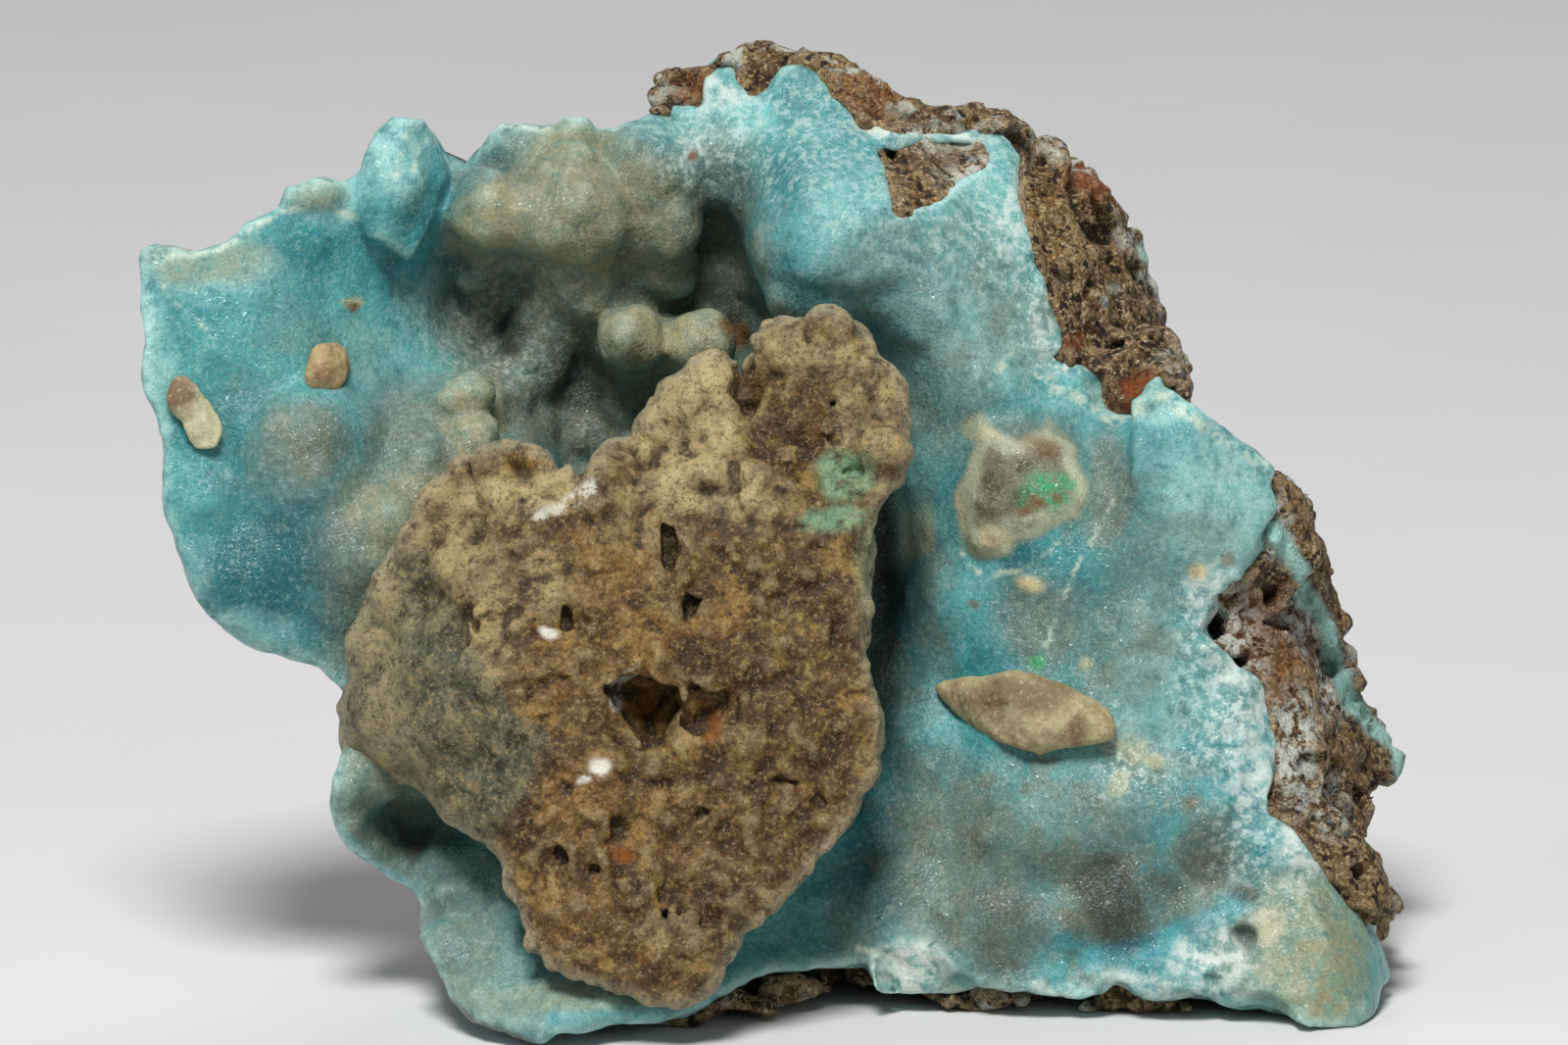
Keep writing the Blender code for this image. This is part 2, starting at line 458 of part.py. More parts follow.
def relief_solid(name, loops, front, back, voxel, material, parts):
    """One closed piece between two reliefs inside an outline, standing in place."""
    obj = remeshed(outline_plate(name, loops), 0.8 * voxel)
    raised(obj, front, back, TAPER[name])
    obj = remeshed(obj, voxel)
    roughened(obj, ROUGHNESS[name])
    obj = thinned(obj, TRIANGLES[name])
    stand_up(obj)
    obj.name = obj.data.name = name
    obj.data.materials.clear()
    obj.data.materials.append(material)
    bpy.context.scene.collection.objects.unlink(obj)
    parts.objects.link(obj)
    return obj


def as_cutter(obj, cutters):
    obj.hide_render = True
    obj.display_type = "WIRE"
    for home in list(obj.users_collection):
        home.objects.unlink(obj)
    cutters.objects.link(obj)
    return obj


def underside_height(x, y):
    """Height in mm of the hollowed underside, 0 on the feet."""
    clear = min(math.hypot(x - fx, y - fy) - radius for fx, fy, radius in FEET)
    rise = min(max(min(clear, y - FRONT_SILL) / 8.0, 0.0), 1.0)
    return UNDERSIDE_RELIEF * rise * (0.75 + 0.5 * noise.noise(Vector((x, y, 0.0)) / 11.0))


def ground_block(cutters):
    """Everything under the specimen, to cut flat feet and a shallow rough hollow between."""
    bpy.ops.mesh.primitive_grid_add(x_subdivisions=26, y_subdivisions=18, size=1.0)
    obj = bpy.context.object
    obj.name = "ground"
    for vert in obj.data.vertices:
        vert.co.x *= GROUND_SIZE[0]
        vert.co.y *= GROUND_SIZE[1]
        vert.co.z = MM * underside_height(vert.co.x / MM, vert.co.y / MM)
    solidify = obj.modifiers.new("Depth", "SOLIDIFY")
    solidify.thickness = GROUND_SIZE[2]
    solidify.offset = -1.0
    return as_cutter(obj, cutters)


def clearance_of(obj, cutters):
    """The piece grown by the clearance, to cut what lies against it."""
    grown = bpy.data.objects.new(obj.name + "_clearance", obj.data)
    displace = grown.modifiers.new("Grow", "DISPLACE")
    displace.strength = CLEARANCE
    displace.mid_level = 0.0
    bpy.context.scene.collection.objects.link(grown)
    return as_cutter(grown, cutters)


def cut(obj, cutter):
    boolean = obj.modifiers.new("Cut " + cutter.name, "BOOLEAN")
    boolean.operation = "DIFFERENCE"
    boolean.solver = "EXACT"
    boolean.use_self = True
    boolean.object = cutter


def islands(body):
    """Groups of vertices joined by edges."""
    left = set(body.verts)
    groups = []
    while left:
        group, edge_of_group = set(), [left.pop()]
        while edge_of_group:
            vert = edge_of_group.pop()
            group.add(vert)
            for edge in vert.link_edges:
                other = edge.other_vert(vert)
                if other in left:
                    left.discard(other)
                    edge_of_group.append(other)
        groups.append(group)
    return sorted(groups, key=len)


def settled(obj, parts):
    """Apply the cuts and drop the loose crumbs that they left."""
    name = obj.name
    made = as_mesh_object(obj, name)
    body = bmesh.new()
    body.from_mesh(made.data)
    for crumb in islands(body)[:-1]:
        bmesh.ops.delete(body, geom=list(crumb), context="VERTS")
    body.to_mesh(made.data)
    body.free()
    made.name = made.data.name = name
    bpy.context.scene.collection.objects.unlink(made)
    parts.objects.link(made)


def build():
    clear_scene()
    parts = collection("hemimorphite_specimen")
    cutters = collection("cutters")
    ground = ground_block(cutters)
    crust = relief_solid("hemimorphite_crust", [CRUST_OUTLINE, CRUST_WINDOW], crust_front,
                         crust_back, COARSE_VOXEL, crust_material(), parts)
    crust_room = clearance_of(crust, cutters)
    cut(crust, ground)
    settled(crust, parts)
    matrix = relief_solid("limonite_matrix", [MATRIX_OUTLINE], matrix_front, matrix_back,
                          COARSE_VOXEL, matrix_material(), parts)
    cut(matrix, ground)
    cut(matrix, crust_room)
    settled(matrix, parts)
    block = relief_solid("front_block", [BLOCK_OUTLINE], block_front, block_back,
                         COARSE_VOXEL, block_material(), parts)
    cut(block, crust_room)
    settled(block, parts)
    chip_finish = chip_material()
    for name, rise, outline in CHIPS:
        def chip_front(u, v, rise=rise, outline=outline):
            inward = np.clip(edge_distance(u, v, outline) / (0.7 * rise), 0.0, 1.0)
            return crust_front(u, v) + rise * (0.5 + 0.5 * np.sqrt(inward))

        chip = relief_solid(name, [outline], chip_front, lambda u, v: crust_front(u, v) - 0.8,
                            CHIP_VOXEL, chip_finish, parts)
        cut(chip, crust_room)
        settled(chip, parts)


build()
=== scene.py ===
"""Looks of the hemimorphite specimen: fine relief and procedural minerals on the CAD frame.

Tables are in millimetres in the face frame of the part: u runs right and v up along the
broken face, h is the height of the relief towards the viewer. Weights run from 0 to 1.
"""
import math

import bpy
import numpy as np
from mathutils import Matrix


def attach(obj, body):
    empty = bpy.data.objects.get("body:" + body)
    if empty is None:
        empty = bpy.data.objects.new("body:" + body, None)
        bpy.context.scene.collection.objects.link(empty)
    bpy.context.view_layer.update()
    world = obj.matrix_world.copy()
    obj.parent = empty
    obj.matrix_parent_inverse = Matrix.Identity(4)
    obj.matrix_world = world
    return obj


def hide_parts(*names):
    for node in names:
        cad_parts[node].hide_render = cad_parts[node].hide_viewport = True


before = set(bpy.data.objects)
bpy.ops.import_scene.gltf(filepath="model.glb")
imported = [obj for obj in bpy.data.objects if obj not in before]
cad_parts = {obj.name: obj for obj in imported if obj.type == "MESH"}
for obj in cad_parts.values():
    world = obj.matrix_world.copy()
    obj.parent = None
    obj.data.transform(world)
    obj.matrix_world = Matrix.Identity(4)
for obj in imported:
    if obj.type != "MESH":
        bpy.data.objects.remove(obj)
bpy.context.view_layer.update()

import openvdb
from mathutils import Vector

# The face frame, as in the part
FACE_LEAN = math.radians(12.0)
LEAN_SIN, LEAN_COS = math.sin(FACE_LEAN), math.cos(FACE_LEAN)
FEET_DROP = 6.24
DEPTH_SHIFT = 9.1
MM = 0.001

# Grids
BAND = 8                            # voxels of true distance kept on each side of a surface
TRIANGLE_LIMIT = 196000
NO_FRONT = -999.0                   # height of a column that misses the body
NOISE_GAIN = 2.4                    # brings smoothed noise back to about -1 to 1
GROUND_GAP = 0.05
PLATE_THICKNESS = 6.0
FAR_LEFT = -60.0                    # left of every block corner

# Camera: long lens, square to the face
CAMERA_DISTANCE = 1.5
VIEW_CENTRE = (0.3, 52.9, 0.0)      # u, v, h
VIEW_WIDTH = 0.160
SENSOR = 36.0
LIGHT_TARGET = (0.0, 0.0, 0.045)


def to_face(points):
    """World metres to (u, v, h) in millimetres."""
    depth = points[:, 1] / MM + DEPTH_SHIFT
    height = points[:, 2] / MM + FEET_DROP
    return np.column_stack([points[:, 0] / MM, depth * LEAN_SIN + height * LEAN_COS,
                            height * LEAN_SIN - depth * LEAN_COS])


def to_world(points):
    """(u, v, h) in millimetres to world metres."""
    u, v, h = points.T
    return np.column_stack([u, v * LEAN_SIN - h * LEAN_COS - DEPTH_SHIFT,
                            v * LEAN_COS + h * LEAN_SIN - FEET_DROP]) * MM


def read_out(items, name, width=3, dtype=float):
    """An attribute of all items of a Blender collection, as rows of an array."""
    values = np.empty(len(items) * width, dtype=dtype)
    items.foreach_get(name, values)
    return values.reshape(-1, width)


def node_mesh(name):
    """Corners in the face frame, and triangles, of a CAD node."""
    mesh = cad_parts[name].data
    mesh.calc_loop_triangles()
    return (to_face(read_out(mesh.vertices, "co")),
            read_out(mesh.loop_triangles, "vertices", dtype=np.int32))


def blurred(field, sigma):
    """Gaussian blur of a grid; sigma in voxels."""
    reach = max(1, int(math.ceil(2.5 * sigma)))
    weights = np.exp(-0.5 * (np.arange(-reach, reach + 1) / sigma) ** 2)
    weights = (weights / weights.sum()).astype(np.float32)
    for axis in range(field.ndim):
        spread = np.zeros_like(field)
        for shift, weight in zip(range(-reach, reach + 1), weights):
            spread += np.roll(field, shift, axis=axis) * weight
        field = spread
    return field


def lattice_noise(shape, cell, rng):
    """Smooth random field, mostly within -1 to 1, with features about cell voxels wide."""
    field = rng.uniform(-1.0, 1.0, [int(n / cell) + 4 for n in shape]).astype(np.float32)
    for axis, count in enumerate(shape):
        place = np.arange(count) / cell
        base = place.astype(int)
        t = place - base
        taps = np.stack([(1 - t) ** 3, 3 * t ** 3 - 6 * t ** 2 + 4,
                         -3 * t ** 3 + 3 * t ** 2 + 3 * t + 1, t ** 3]) / 6.0
        along = [-1 if other == axis else 1 for other in range(len(shape))]
        field = sum(np.take(field, base + tap, axis=axis)
                    * taps[tap].astype(np.float32).reshape(along) for tap in range(4))
    return field * NOISE_GAIN


def smoothstep(low, high, x):
    t = np.clip((x - low) / (high - low), 0.0, 1.0)
    return t * t * (3 - 2 * t)


def joined(old, new, blend):
    """Union of two signed distances, with a seam rounded over the width of blend."""
    share = np.clip(0.5 + 0.5 * (old - new) / blend, 0.0, 1.0)
    return old * (1 - share) + new * share - blend * share * (1 - share)


class Body:
    """Signed distance of one piece on a grid in the face frame: mm, negative inside."""

    def __init__(self, node, voxel, soften, seed):
        points, triangles = node_mesh(node)
        self.voxel = voxel
        self.rng = np.random.default_rng(seed)
        self.low = np.floor(points.min(0) / voxel).astype(int) - BAND
        high = np.ceil(points.max(0) / voxel).astype(int) + BAND
        self.phi = np.empty(tuple(high - self.low), dtype=np.float32)
        grid = openvdb.FloatGrid.createLevelSetFromPolygons(
            points.astype(np.float32), triangles=triangles.astype(np.uint32),
            transform=openvdb.createLinearTransform(voxel), exBandWidth=float(BAND),
            inBandWidth=float(BAND))
        grid.copyToArray(self.phi, ijk=tuple(int(n) for n in self.low))
        self.phi = blurred(self.phi, soften / voxel)
        self.grit = self.fractal((1.5, 0.6), (0.8, 0.4))

    def axes(self):
        """u, v and h along the sides of the grid, shaped to spread over it."""
        us, vs, hs = [(self.low[axis] + np.arange(self.phi.shape[axis])) * self.voxel
                      for axis in range(3)]
        return us[:, None, None], vs[None, :, None], hs[None, None, :]

    def columns(self):
        """(u, v) of every column of the grid."""
        us, vs, _ = self.axes()
        grid = np.meshgrid(us.ravel(), vs.ravel(), indexing="ij")
        return np.stack(grid, axis=-1).reshape(-1, 2)

    def per_column(self, values):
        """A value for every column, shaped to spread over the grid."""
        return values.reshape(*self.phi.shape[:2], 1)

    def beyond(self, outline):
        """Signed distance of every column to a closed outline, negative inside."""
        return self.per_column(outline_distance(self.columns(), outline))

    def zone(self, table, soft=0.5):
        """The patches of a table as a weight over the columns."""
        return self.per_column(patches(self.columns(), table, soft)).astype(np.float32)

    def cover(self):
        """1 for each column that meets the body."""
        return (self.phi < 0).any(axis=2).astype(np.float32)

    def rim(self, width):
        """Weight 0 to 1 close to the outline of the piece, over the columns."""
        return (1 - smoothstep(0.55, 0.98, blurred(self.cover(), width / self.voxel)))[:, :, None]

    def noise(self, size):
        return lattice_noise(self.phi.shape, size / self.voxel, self.rng)

    def fractal(self, *octaves):
        """Sum of noises given as (size in mm, height in mm) pairs."""
        return sum(height * self.noise(size) for size, height in octaves)

    def sample(self, field, points, stride=1):
        """Trilinear value at points in mm of a grid, or of one kept at every stride-th voxel."""
        place = (points / self.voxel - self.low) / stride
        place = np.clip(place, 0, np.array(field.shape) - 1.001)
        base = place.astype(int)
        t = place - base
        value = np.zeros(len(points))
        for corner in range(8):
            step = np.array([corner & 1, corner >> 1 & 1, corner >> 2 & 1])
            weight = np.prod(np.where(step, t, 1 - t), axis=1)
            i, j, k = (base + step).T
            value += weight * field[i, j, k]
        return value

    def front(self):
        """Height h of the front surface over each column."""
        solid = self.phi < 0
        top = self.phi.shape[2] - 1 - np.argmax(solid[:, :, ::-1], axis=2)
        height = (self.low[2] + top + 0.5) * self.voxel
        return np.where(solid.any(axis=2), height, NO_FRONT)

    def height(self, front, u, v):
        """Front height at a place, or None beside the body."""
        i = int(round(u / self.voxel)) - self.low[0]
        j = int(round(v / self.voxel)) - self.low[1]
        return front[i, j] if front[i, j] != NO_FRONT else None

    def surface(self, count):
        """Random points on the surface, with their outward normals."""
        points, _ = self.polygons()
        points = points[self.rng.choice(len(points), count, replace=count > len(points))]
        normals = np.column_stack([self.sample(part, points) for part in np.gradient(self.phi)])
        return points, normals / (np.linalg.norm(normals, axis=1, keepdims=True) + 1e-6)

    def stamp(self, centre, radius, add=True, blend=0.3, stretch=(1, 1, 1), rough=0.0):
        """Join a ball to the body, or cut it out, with a rounded seam."""
        reach = radius * max(stretch) + 2 * blend + self.voxel
        first = np.maximum(np.floor((centre - reach) / self.voxel).astype(int) - self.low, 0)
        last = np.minimum(np.ceil((centre + reach) / self.voxel).astype(int) - self.low + 1,
                          self.phi.shape)
        if (last <= first).any():
            return
        window = tuple(slice(a, b) for a, b in zip(first, last))
        steps = [((self.low[axis] + np.arange(first[axis], last[axis])) * self.voxel
                  - centre[axis]) / stretch[axis] for axis in range(3)]
        ball = np.sqrt(steps[0][:, None, None] ** 2 + steps[1][None, :, None] ** 2
                       + steps[2][None, None, :] ** 2) - radius
        ball = (ball * min(stretch)).astype(np.float32) - rough * self.grit[window]
        sign = 1 if add else -1
        self.phi[window] = sign * joined(sign * self.phi[window], ball, blend)

    def knobs(self, table, seam=0.35, lumps=5):
        """Lumpy knobs grown on the front: u, v, radius, rise."""
        front = self.front()
        for u, v, radius, rise in table:
            level = self.height(front, u, v)
            if level is None:
                continue
            centre = np.array([u, v, level + rise - radius])
            self.stamp(centre, radius, blend=0.3 + seam * radius, rough=0.06 * radius)
            for _ in range(lumps):
                aim = self.rng.normal(size=3)
                aim[2] = abs(aim[2])
                aim /= np.linalg.norm(aim)
                small = radius * self.rng.uniform(0.32, 0.5)
                self.stamp(centre + aim * (radius - 0.72 * small), small,
                           blend=0.2 + seam * small)

    def beads(self, count, table, radii, rise, seed, facing=-1.0, seam=0.5):
        """Small grape-like balls grown over the patches of a table."""
        rng = np.random.default_rng(seed)
        points, normals = self.surface(count * 6)
        keep = (rng.random(len(points)) < patches(points, table)) & (normals[:, 2] > facing)
        for point, normal in zip(points[keep][:count], normals[keep][:count]):
            radius = rng.uniform(*radii)
            self.stamp(point + normal * radius * (rise * rng.uniform(0.7, 1.2) - 1), radius,
                       blend=seam * radius)

    def fill(self, table, radius=3.0):
        """Raise the floor of deep hollows: u, v, half width, half height, level."""
        for u, v, half_u, half_v, level in table:
            self.stamp(np.array([u, v, level - radius]), radius, blend=1.6,
                       stretch=(half_u / radius, half_v / radius, 1.0), rough=0.3)

    def pits(self, table, blend=0.25, rough=0.5):
        """Ragged hollows in the front: u, v, half width, half height, depth."""
        front = self.front()
        for u, v, half_u, half_v, depth in table:
            level = self.height(front, u, v)
            if level is not None:
                self.stamp(np.array([u, v, level]), depth, add=False, blend=blend, rough=rough,
                           stretch=(half_u / depth, half_v / depth, 1.0))

    def grooves(self, table, rough):
        """Furrows along lines on the front: half width, depth, then the points."""
        front = self.front()
        for width, depth, line in table:
            for start, end in zip(line, line[1:]):
                stops = max(2, int(math.dist(start, end) / (0.5 * width)))
                for share in np.linspace(0, 1, stops):
                    u, v = [a + share * (b - a) for a, b in zip(start, end)]
                    level = self.height(front, u, v)
                    if level is not None:
                        self.stamp(np.array([u, v, level]), width, add=False,
                                   blend=0.9 * width, stretch=(1, 1, depth / width),
                                   rough=rough * width)

    def cavity(self, outline, depth, ragged):
        """Cut a steep-sided cavity with the given outline in (u, v)."""
        flat = self.beyond(outline)
        floor = self.height(self.front(), *np.mean(outline, axis=0)) - depth
        floor = floor + 0.35 * depth * smoothstep(-2.0, 0.0, flat)
        hole = np.maximum(flat + ragged, floor - self.axes()[2])
        self.phi = np.maximum(self.phi, -hole.astype(np.float32))

    def plate(self, outline, planes, blend=0.4, flank=0.8):
        """Join an angular plate: an outline in (u, v) under planes a + b u + c v."""
        us, vs, hs = self.axes()
        flat = self.beyond(outline) + 0.6 * self.grit
        top = np.min([a + b * us + c * vs for a, b, c in planes], axis=0)
        solid = np.maximum(np.maximum(flat, flank * (hs - top)), top - PLATE_THICKNESS - hs)
        self.phi = joined(self.phi, solid.astype(np.float32), blend)

    def facets(self, table, far=9.0):
        """Broken flat faces: u, v, half width, half height, level and slopes of the plane."""
        us, vs, hs = self.axes()
        for u, v, half_u, half_v, level, slope_u, slope_v in table:
            cover = self.zone([(u, v, half_u, half_v, 1.0)], 0.25)
            plane = level + slope_u * (us - u) + slope_v * (vs - v)
            over = np.where(cover > 0.02, 0.85 * (hs - plane) - far * (1 - cover), -far)
            self.phi = np.maximum(self.phi, over.astype(np.float32))

    def chipped(self, cuts, depth):
        """Break flat faces off all round, as on a loose fragment."""
        points, _ = self.polygons()
        middle = points.mean(0)
        us, vs, hs = self.axes()
        for _ in range(cuts):
            aim = self.rng.normal(size=3)
            aim /= np.linalg.norm(aim)
            reach = ((points - middle) @ aim).max() - self.rng.uniform(0.1, 1.0) * depth
            side = (us - middle[0]) * aim[0] + (vs - middle[1]) * aim[1] \
                + (hs - middle[2]) * aim[2]
            self.phi = np.maximum(self.phi, (side - reach).astype(np.float32))

    def cut_to(self, outline, ragged, sign=1):
        """Break away what lies outside an outline in (u, v), or inside it when sign is -1."""
        flat = self.beyond(outline).astype(np.float32)
        self.phi = np.maximum(self.phi, sign * flat + ragged)

    def stand(self):
        """Cut the underside flat where it would go through the ground."""
        _, vs, hs = self.axes()
        ground = vs * LEAN_COS + hs * LEAN_SIN - FEET_DROP
        self.phi = np.maximum(self.phi, GROUND_GAP - ground.astype(np.float32))

    def polygons(self):
        grid = openvdb.FloatGrid(BAND * self.voxel)
        grid.copyFromArray(self.phi, ijk=tuple(int(n) for n in self.low))
        grid.transform = openvdb.createLinearTransform(self.voxel)
        return grid.convertToQuads(0.0)

    def behind(self, points):
        """1 for corners whose outward normal points away from the viewer."""
        slope = self.sample(np.gradient(self.phi, axis=2), points)
        return np.where(slope < -0.1 * self.voxel, 1.0, 0.0)

    def warped(self, points):
        """Points shifted sideways by smooth noise, so that patches get natural edges."""
        moved = points.copy()
        for axis in (0, 1):
            moved[:, axis] += self.sample(self.fractal((3.4, 0.9), (1.3, 0.4)), points)
        return moved

    def piece(self, name, hidden=None):
        """Mesh of the body; what lies hidden is thinned first to keep the triangle limit."""
        points, quads = largest_part(*self.polygons())
        obj = new_mesh_object(name, to_world(points), quads)
        triangles = 2 * len(quads)
        if triangles > TRIANGLE_LIMIT:
            thin = obj.modifiers.new("Thin", "DECIMATE")
            thin.ratio = TRIANGLE_LIMIT / triangles
            group = obj.vertex_groups.new(name="hidden")
            for level in (0.0, 0.5, 1.0):
                members = np.flatnonzero(np.abs(hidden(points) - level) < 0.25)
                group.add(members.tolist(), max(level, 0.02), "REPLACE")
            thin.vertex_group = "hidden"
            thin.vertex_group_factor = 6.0
            depsgraph = bpy.context.evaluated_depsgraph_get()
            mesh = bpy.data.meshes.new_from_object(obj.evaluated_get(depsgraph))
            obj.modifiers.clear()
            obj.vertex_groups.clear()
            obj.data = mesh
        obj.data.shade_smooth()
        return obj

    def paint(self, piece, marks, lines, edge=None):
        """Masks on the mesh: named patches and streaks, edges, ridges and hollows."""
        points = to_face(read_out(piece.data.vertices, "co"))
        front = towards_viewer(piece)
        moved = self.warped(points)
        for name, table in marks.items():
            set_attribute(piece, name, front * patches(moved, table, 0.45))
        fine = points + 0.4 * (moved - points)
        for name, table in lines.items():
            set_attribute(piece, name, front * strokes(fine, table))
        level = self.sample(self.phi, points)
        near = self.sample(blurred(self.phi, 0.9 / self.voxel), points) - level
        stride = 3 if self.voxel < 0.4 else 2
        wide = blurred(self.phi[::stride, ::stride, ::stride], 3.0 / self.voxel / stride)
        wide = self.sample(wide, points, stride) - level
        # ridge_and_crease_shade: above 0.5 on ridges, below 0.5 in creases, where the materials
        # paint shade
        set_attribute(piece, "ridge_and_crease_shade", np.clip(0.5 + 1.2 * near, 0, 1))
        # hollow_shade: below 0.5 in broad hollows, where the crust material paints shade
        set_attribute(piece, "hollow_shade", np.clip(0.5 + 0.35 * wide, 0, 1))
        if edge is not None:
            flat = np.repeat(edge, self.phi.shape[2], axis=2)
            set_attribute(piece, "edge", self.sample(flat, points))
        return points, front


def outline_distance(points, outline):
    """Signed distance of (u, v) points to a closed outline, negative inside."""
    nearest = np.full(len(points), 1e9)
    inside = np.zeros(len(points), dtype=bool)
    u, v = points[:, 0], points[:, 1]
    for (au, av), (bu, bv) in zip(outline, outline[1:] + outline[:1]):
        nearest = np.minimum(nearest, run_distance(u, v, au, av, bu, bv))
        if av != bv:
            inside ^= ((av > v) != (bv > v)) & (u < (bu - au) * (v - av) / (bv - av) + au)
    return np.where(inside, -nearest, nearest)


def run_distance(u, v, au, av, bu, bv):
    """Distance of (u, v) to the straight run from a to b."""
    run_u, run_v = bu - au, bv - av
    share = np.clip(((u - au) * run_u + (v - av) * run_v) / (run_u ** 2 + run_v ** 2), 0, 1)
    return np.hypot(u - au - share * run_u, v - av - share * run_v)


def new_mesh_object(name, points, faces):
    mesh = bpy.data.meshes.new(name)
    mesh.vertices.add(len(points))
    mesh.vertices.foreach_set("co", points.astype(np.float32).ravel())
    mesh.loops.add(faces.size)
    mesh.loops.foreach_set("vertex_index", faces.astype(np.int32).ravel())
    mesh.polygons.add(len(faces))
    starts = np.arange(len(faces), dtype=np.int32) * faces.shape[1]
    mesh.polygons.foreach_set("loop_start", starts)
    mesh.update(calc_edges=True)
    return placed(name, mesh)


def placed(name, data):
    """A new object in the scene."""
    obj = bpy.data.objects.new(name, data)
    bpy.context.scene.collection.objects.link(obj)
    return obj


def largest_part(points, quads):
    """The biggest connected shell, without loose crumbs."""
    label = np.arange(len(points))
    while True:
        lowest = label[quads].min(axis=1)
        new = label.copy()
        for corner in range(4):
            np.minimum.at(new, quads[:, corner], lowest)
        new = new[new]
        if (new == label).all():
            break
        label = new
    keep = label == np.bincount(label).argmax()
    index = np.cumsum(keep) - 1
    return points[keep], index[quads[keep[quads[:, 0]]]]


def set_attribute(obj, name, values):
    layer = obj.data.attributes.new(name, "FLOAT", "POINT")
    layer.data.foreach_set("value", np.asarray(values, dtype=np.float32))


def patches(points, table, soft=0.5):
    """Weight 0 to 1 of the soft elliptical patches: u, v, half width, half height, weight."""
    total = np.zeros(len(points))
    for u, v, half_u, half_v, weight in table:
        reach = np.hypot((points[:, 0] - u) / half_u, (points[:, 1] - v) / half_v)
        total = np.maximum(total, weight * (1 - smoothstep(1 - soft, 1 + soft, reach)))
    return total


def strokes(points, table):
    """Weight 0 to 1 along veins and ledges: half width, then the points of the line."""
    total = np.zeros(len(points))
    for width, line in table:
        for start, end in zip(line, line[1:]):
            gap = run_distance(points[:, 0], points[:, 1], *start, *end)
            total = np.maximum(total, 1 - smoothstep(0.5 * width, 1.2 * width, gap))
    return total


def left_of(points, line):
    """Soft weight 1 on the left of a line that runs from top to bottom."""
    us, vs = np.array(line)[::-1].T
    border = np.interp(points[:, 1], vs, us, right=FAR_LEFT)
    return 1 - smoothstep(border - 1.2, border + 0.8, points[:, 0])


def towards_viewer(obj):
    """0 to 1: how far each corner faces the front of the specimen."""
    normals = read_out(obj.data.vertex_normals, "vector")
    return smoothstep(-0.15, 0.4, normals @ np.array([0.0, -LEAN_COS, LEAN_SIN]))


EVERYWHERE = [(0, 50, 200, 200, 1.0)]


# Crust
CRUST_OUTLINE = [
    (-65, 80.6), (-62.4, 80.9), (-59, 80.4), (-55.2, 82), (-54.4, 83.2), (-50.9, 84.9),
    (-50.2, 86.8), (-47, 87.9), (-44.4, 87.3), (-42.7, 88.6), (-42.1, 90.2), (-41.2, 92.4),
    (-39.6, 93.9), (-36.4, 93.7), (-35.5, 92.2), (-34.7, 90.7), (-33.6, 89.5), (-32.3, 89.4),
    (-31, 90.7), (-29.3, 92.6), (-28.6, 93.6), (-23.2, 93.3), (-22, 94.1), (-19.8, 94.1),
    (-19, 93), (-16.8, 92.8), (-14.6, 94.1), (-13.1, 94.9), (-11.9, 95), (-13.4, 96.3),
    (-14.7, 98.5), (-12.5, 96.8), (-8.5, 95.8), (-7.4, 100), (-5.2, 100.9), (-3.6, 96),
    (-0.8, 96.2), (0.4, 100), (3, 99.8), (6, 97), (8, 93.8), (12, 92.6), (17, 92.8), (22, 93),
    (24.6, 90), (24, 86.5), (25.4, 82), (27, 77), (28.5, 74), (29, 71.5), (28, 69.6),
    (30.4, 69.2), (33, 67.8), (34.4, 65.4), (36, 65.6), (38.3, 67.7), (42, 64.6), (45, 62.4),
    (50.4, 58.6), (51, 55.5), (50, 51), (47.4, 47.6), (45.5, 47), (44, 45.4), (42.8, 42),
    (44.2, 39.6), (46, 38.5), (48.2, 37.6), (49.5, 36), (50.5, 29), (49, 23.5), (51.4, 21.4),
    (54, 18.6), (56.5, 16.4), (60, 13.2), (61.4, 7), (60, 3), (57, 1.6), (53, 2), (48.6, 4.2),
    (45.6, 4.4), (41, 5), (37.6, 5), (34, 6.2), (30, 4.6), (24, 5.2), (20, 6), (16.8, 5),
    (10, 5.6), (8.6, 8), (3, 8), (-3, 7), (-6.6, 5), (-10, 3), (-14.3, 2.7), (-18.7, 2.3),
    (-22.4, 1.8), (-24.2, 0.6), (-28, 2), (-31, 3.2), (-33.2, 5), (-34.2, 7), (-35.6, 9.7),
    (-36.6, 12.1), (-36.2, 14.4), (-37, 15.5), (-39.6, 16.5), (-41.6, 18.2), (-43.7, 19.5),
    (-44.4, 21.2), (-45.4, 23.9), (-45.2, 26.9), (-44.5, 29.6), (-43.2, 31.3), (-43.4, 34.3),
    (-45.2, 36.7), (-46.8, 38.2), (-49.8, 39), (-54.7, 40.7), (-57.3, 43), (-59.8, 46.2),
    (-61, 50.2), (-62.1, 53.9), (-62.3, 56.9), (-62.7, 60.9), (-63.6, 63.7), (-64.5, 66.1),
    (-64.8, 68.6), (-64.2, 72.3), (-64.8, 74.7),
]
CRUST_WINDOW = [
    (10.4, 91), (12.4, 90.4), (15, 91.4), (20.4, 91.2), (20.8, 89.4), (17.4, 87), (17, 84.8),
    (14.2, 85.2), (13, 83.6), (11.4, 84), (10.8, 87.6),
]
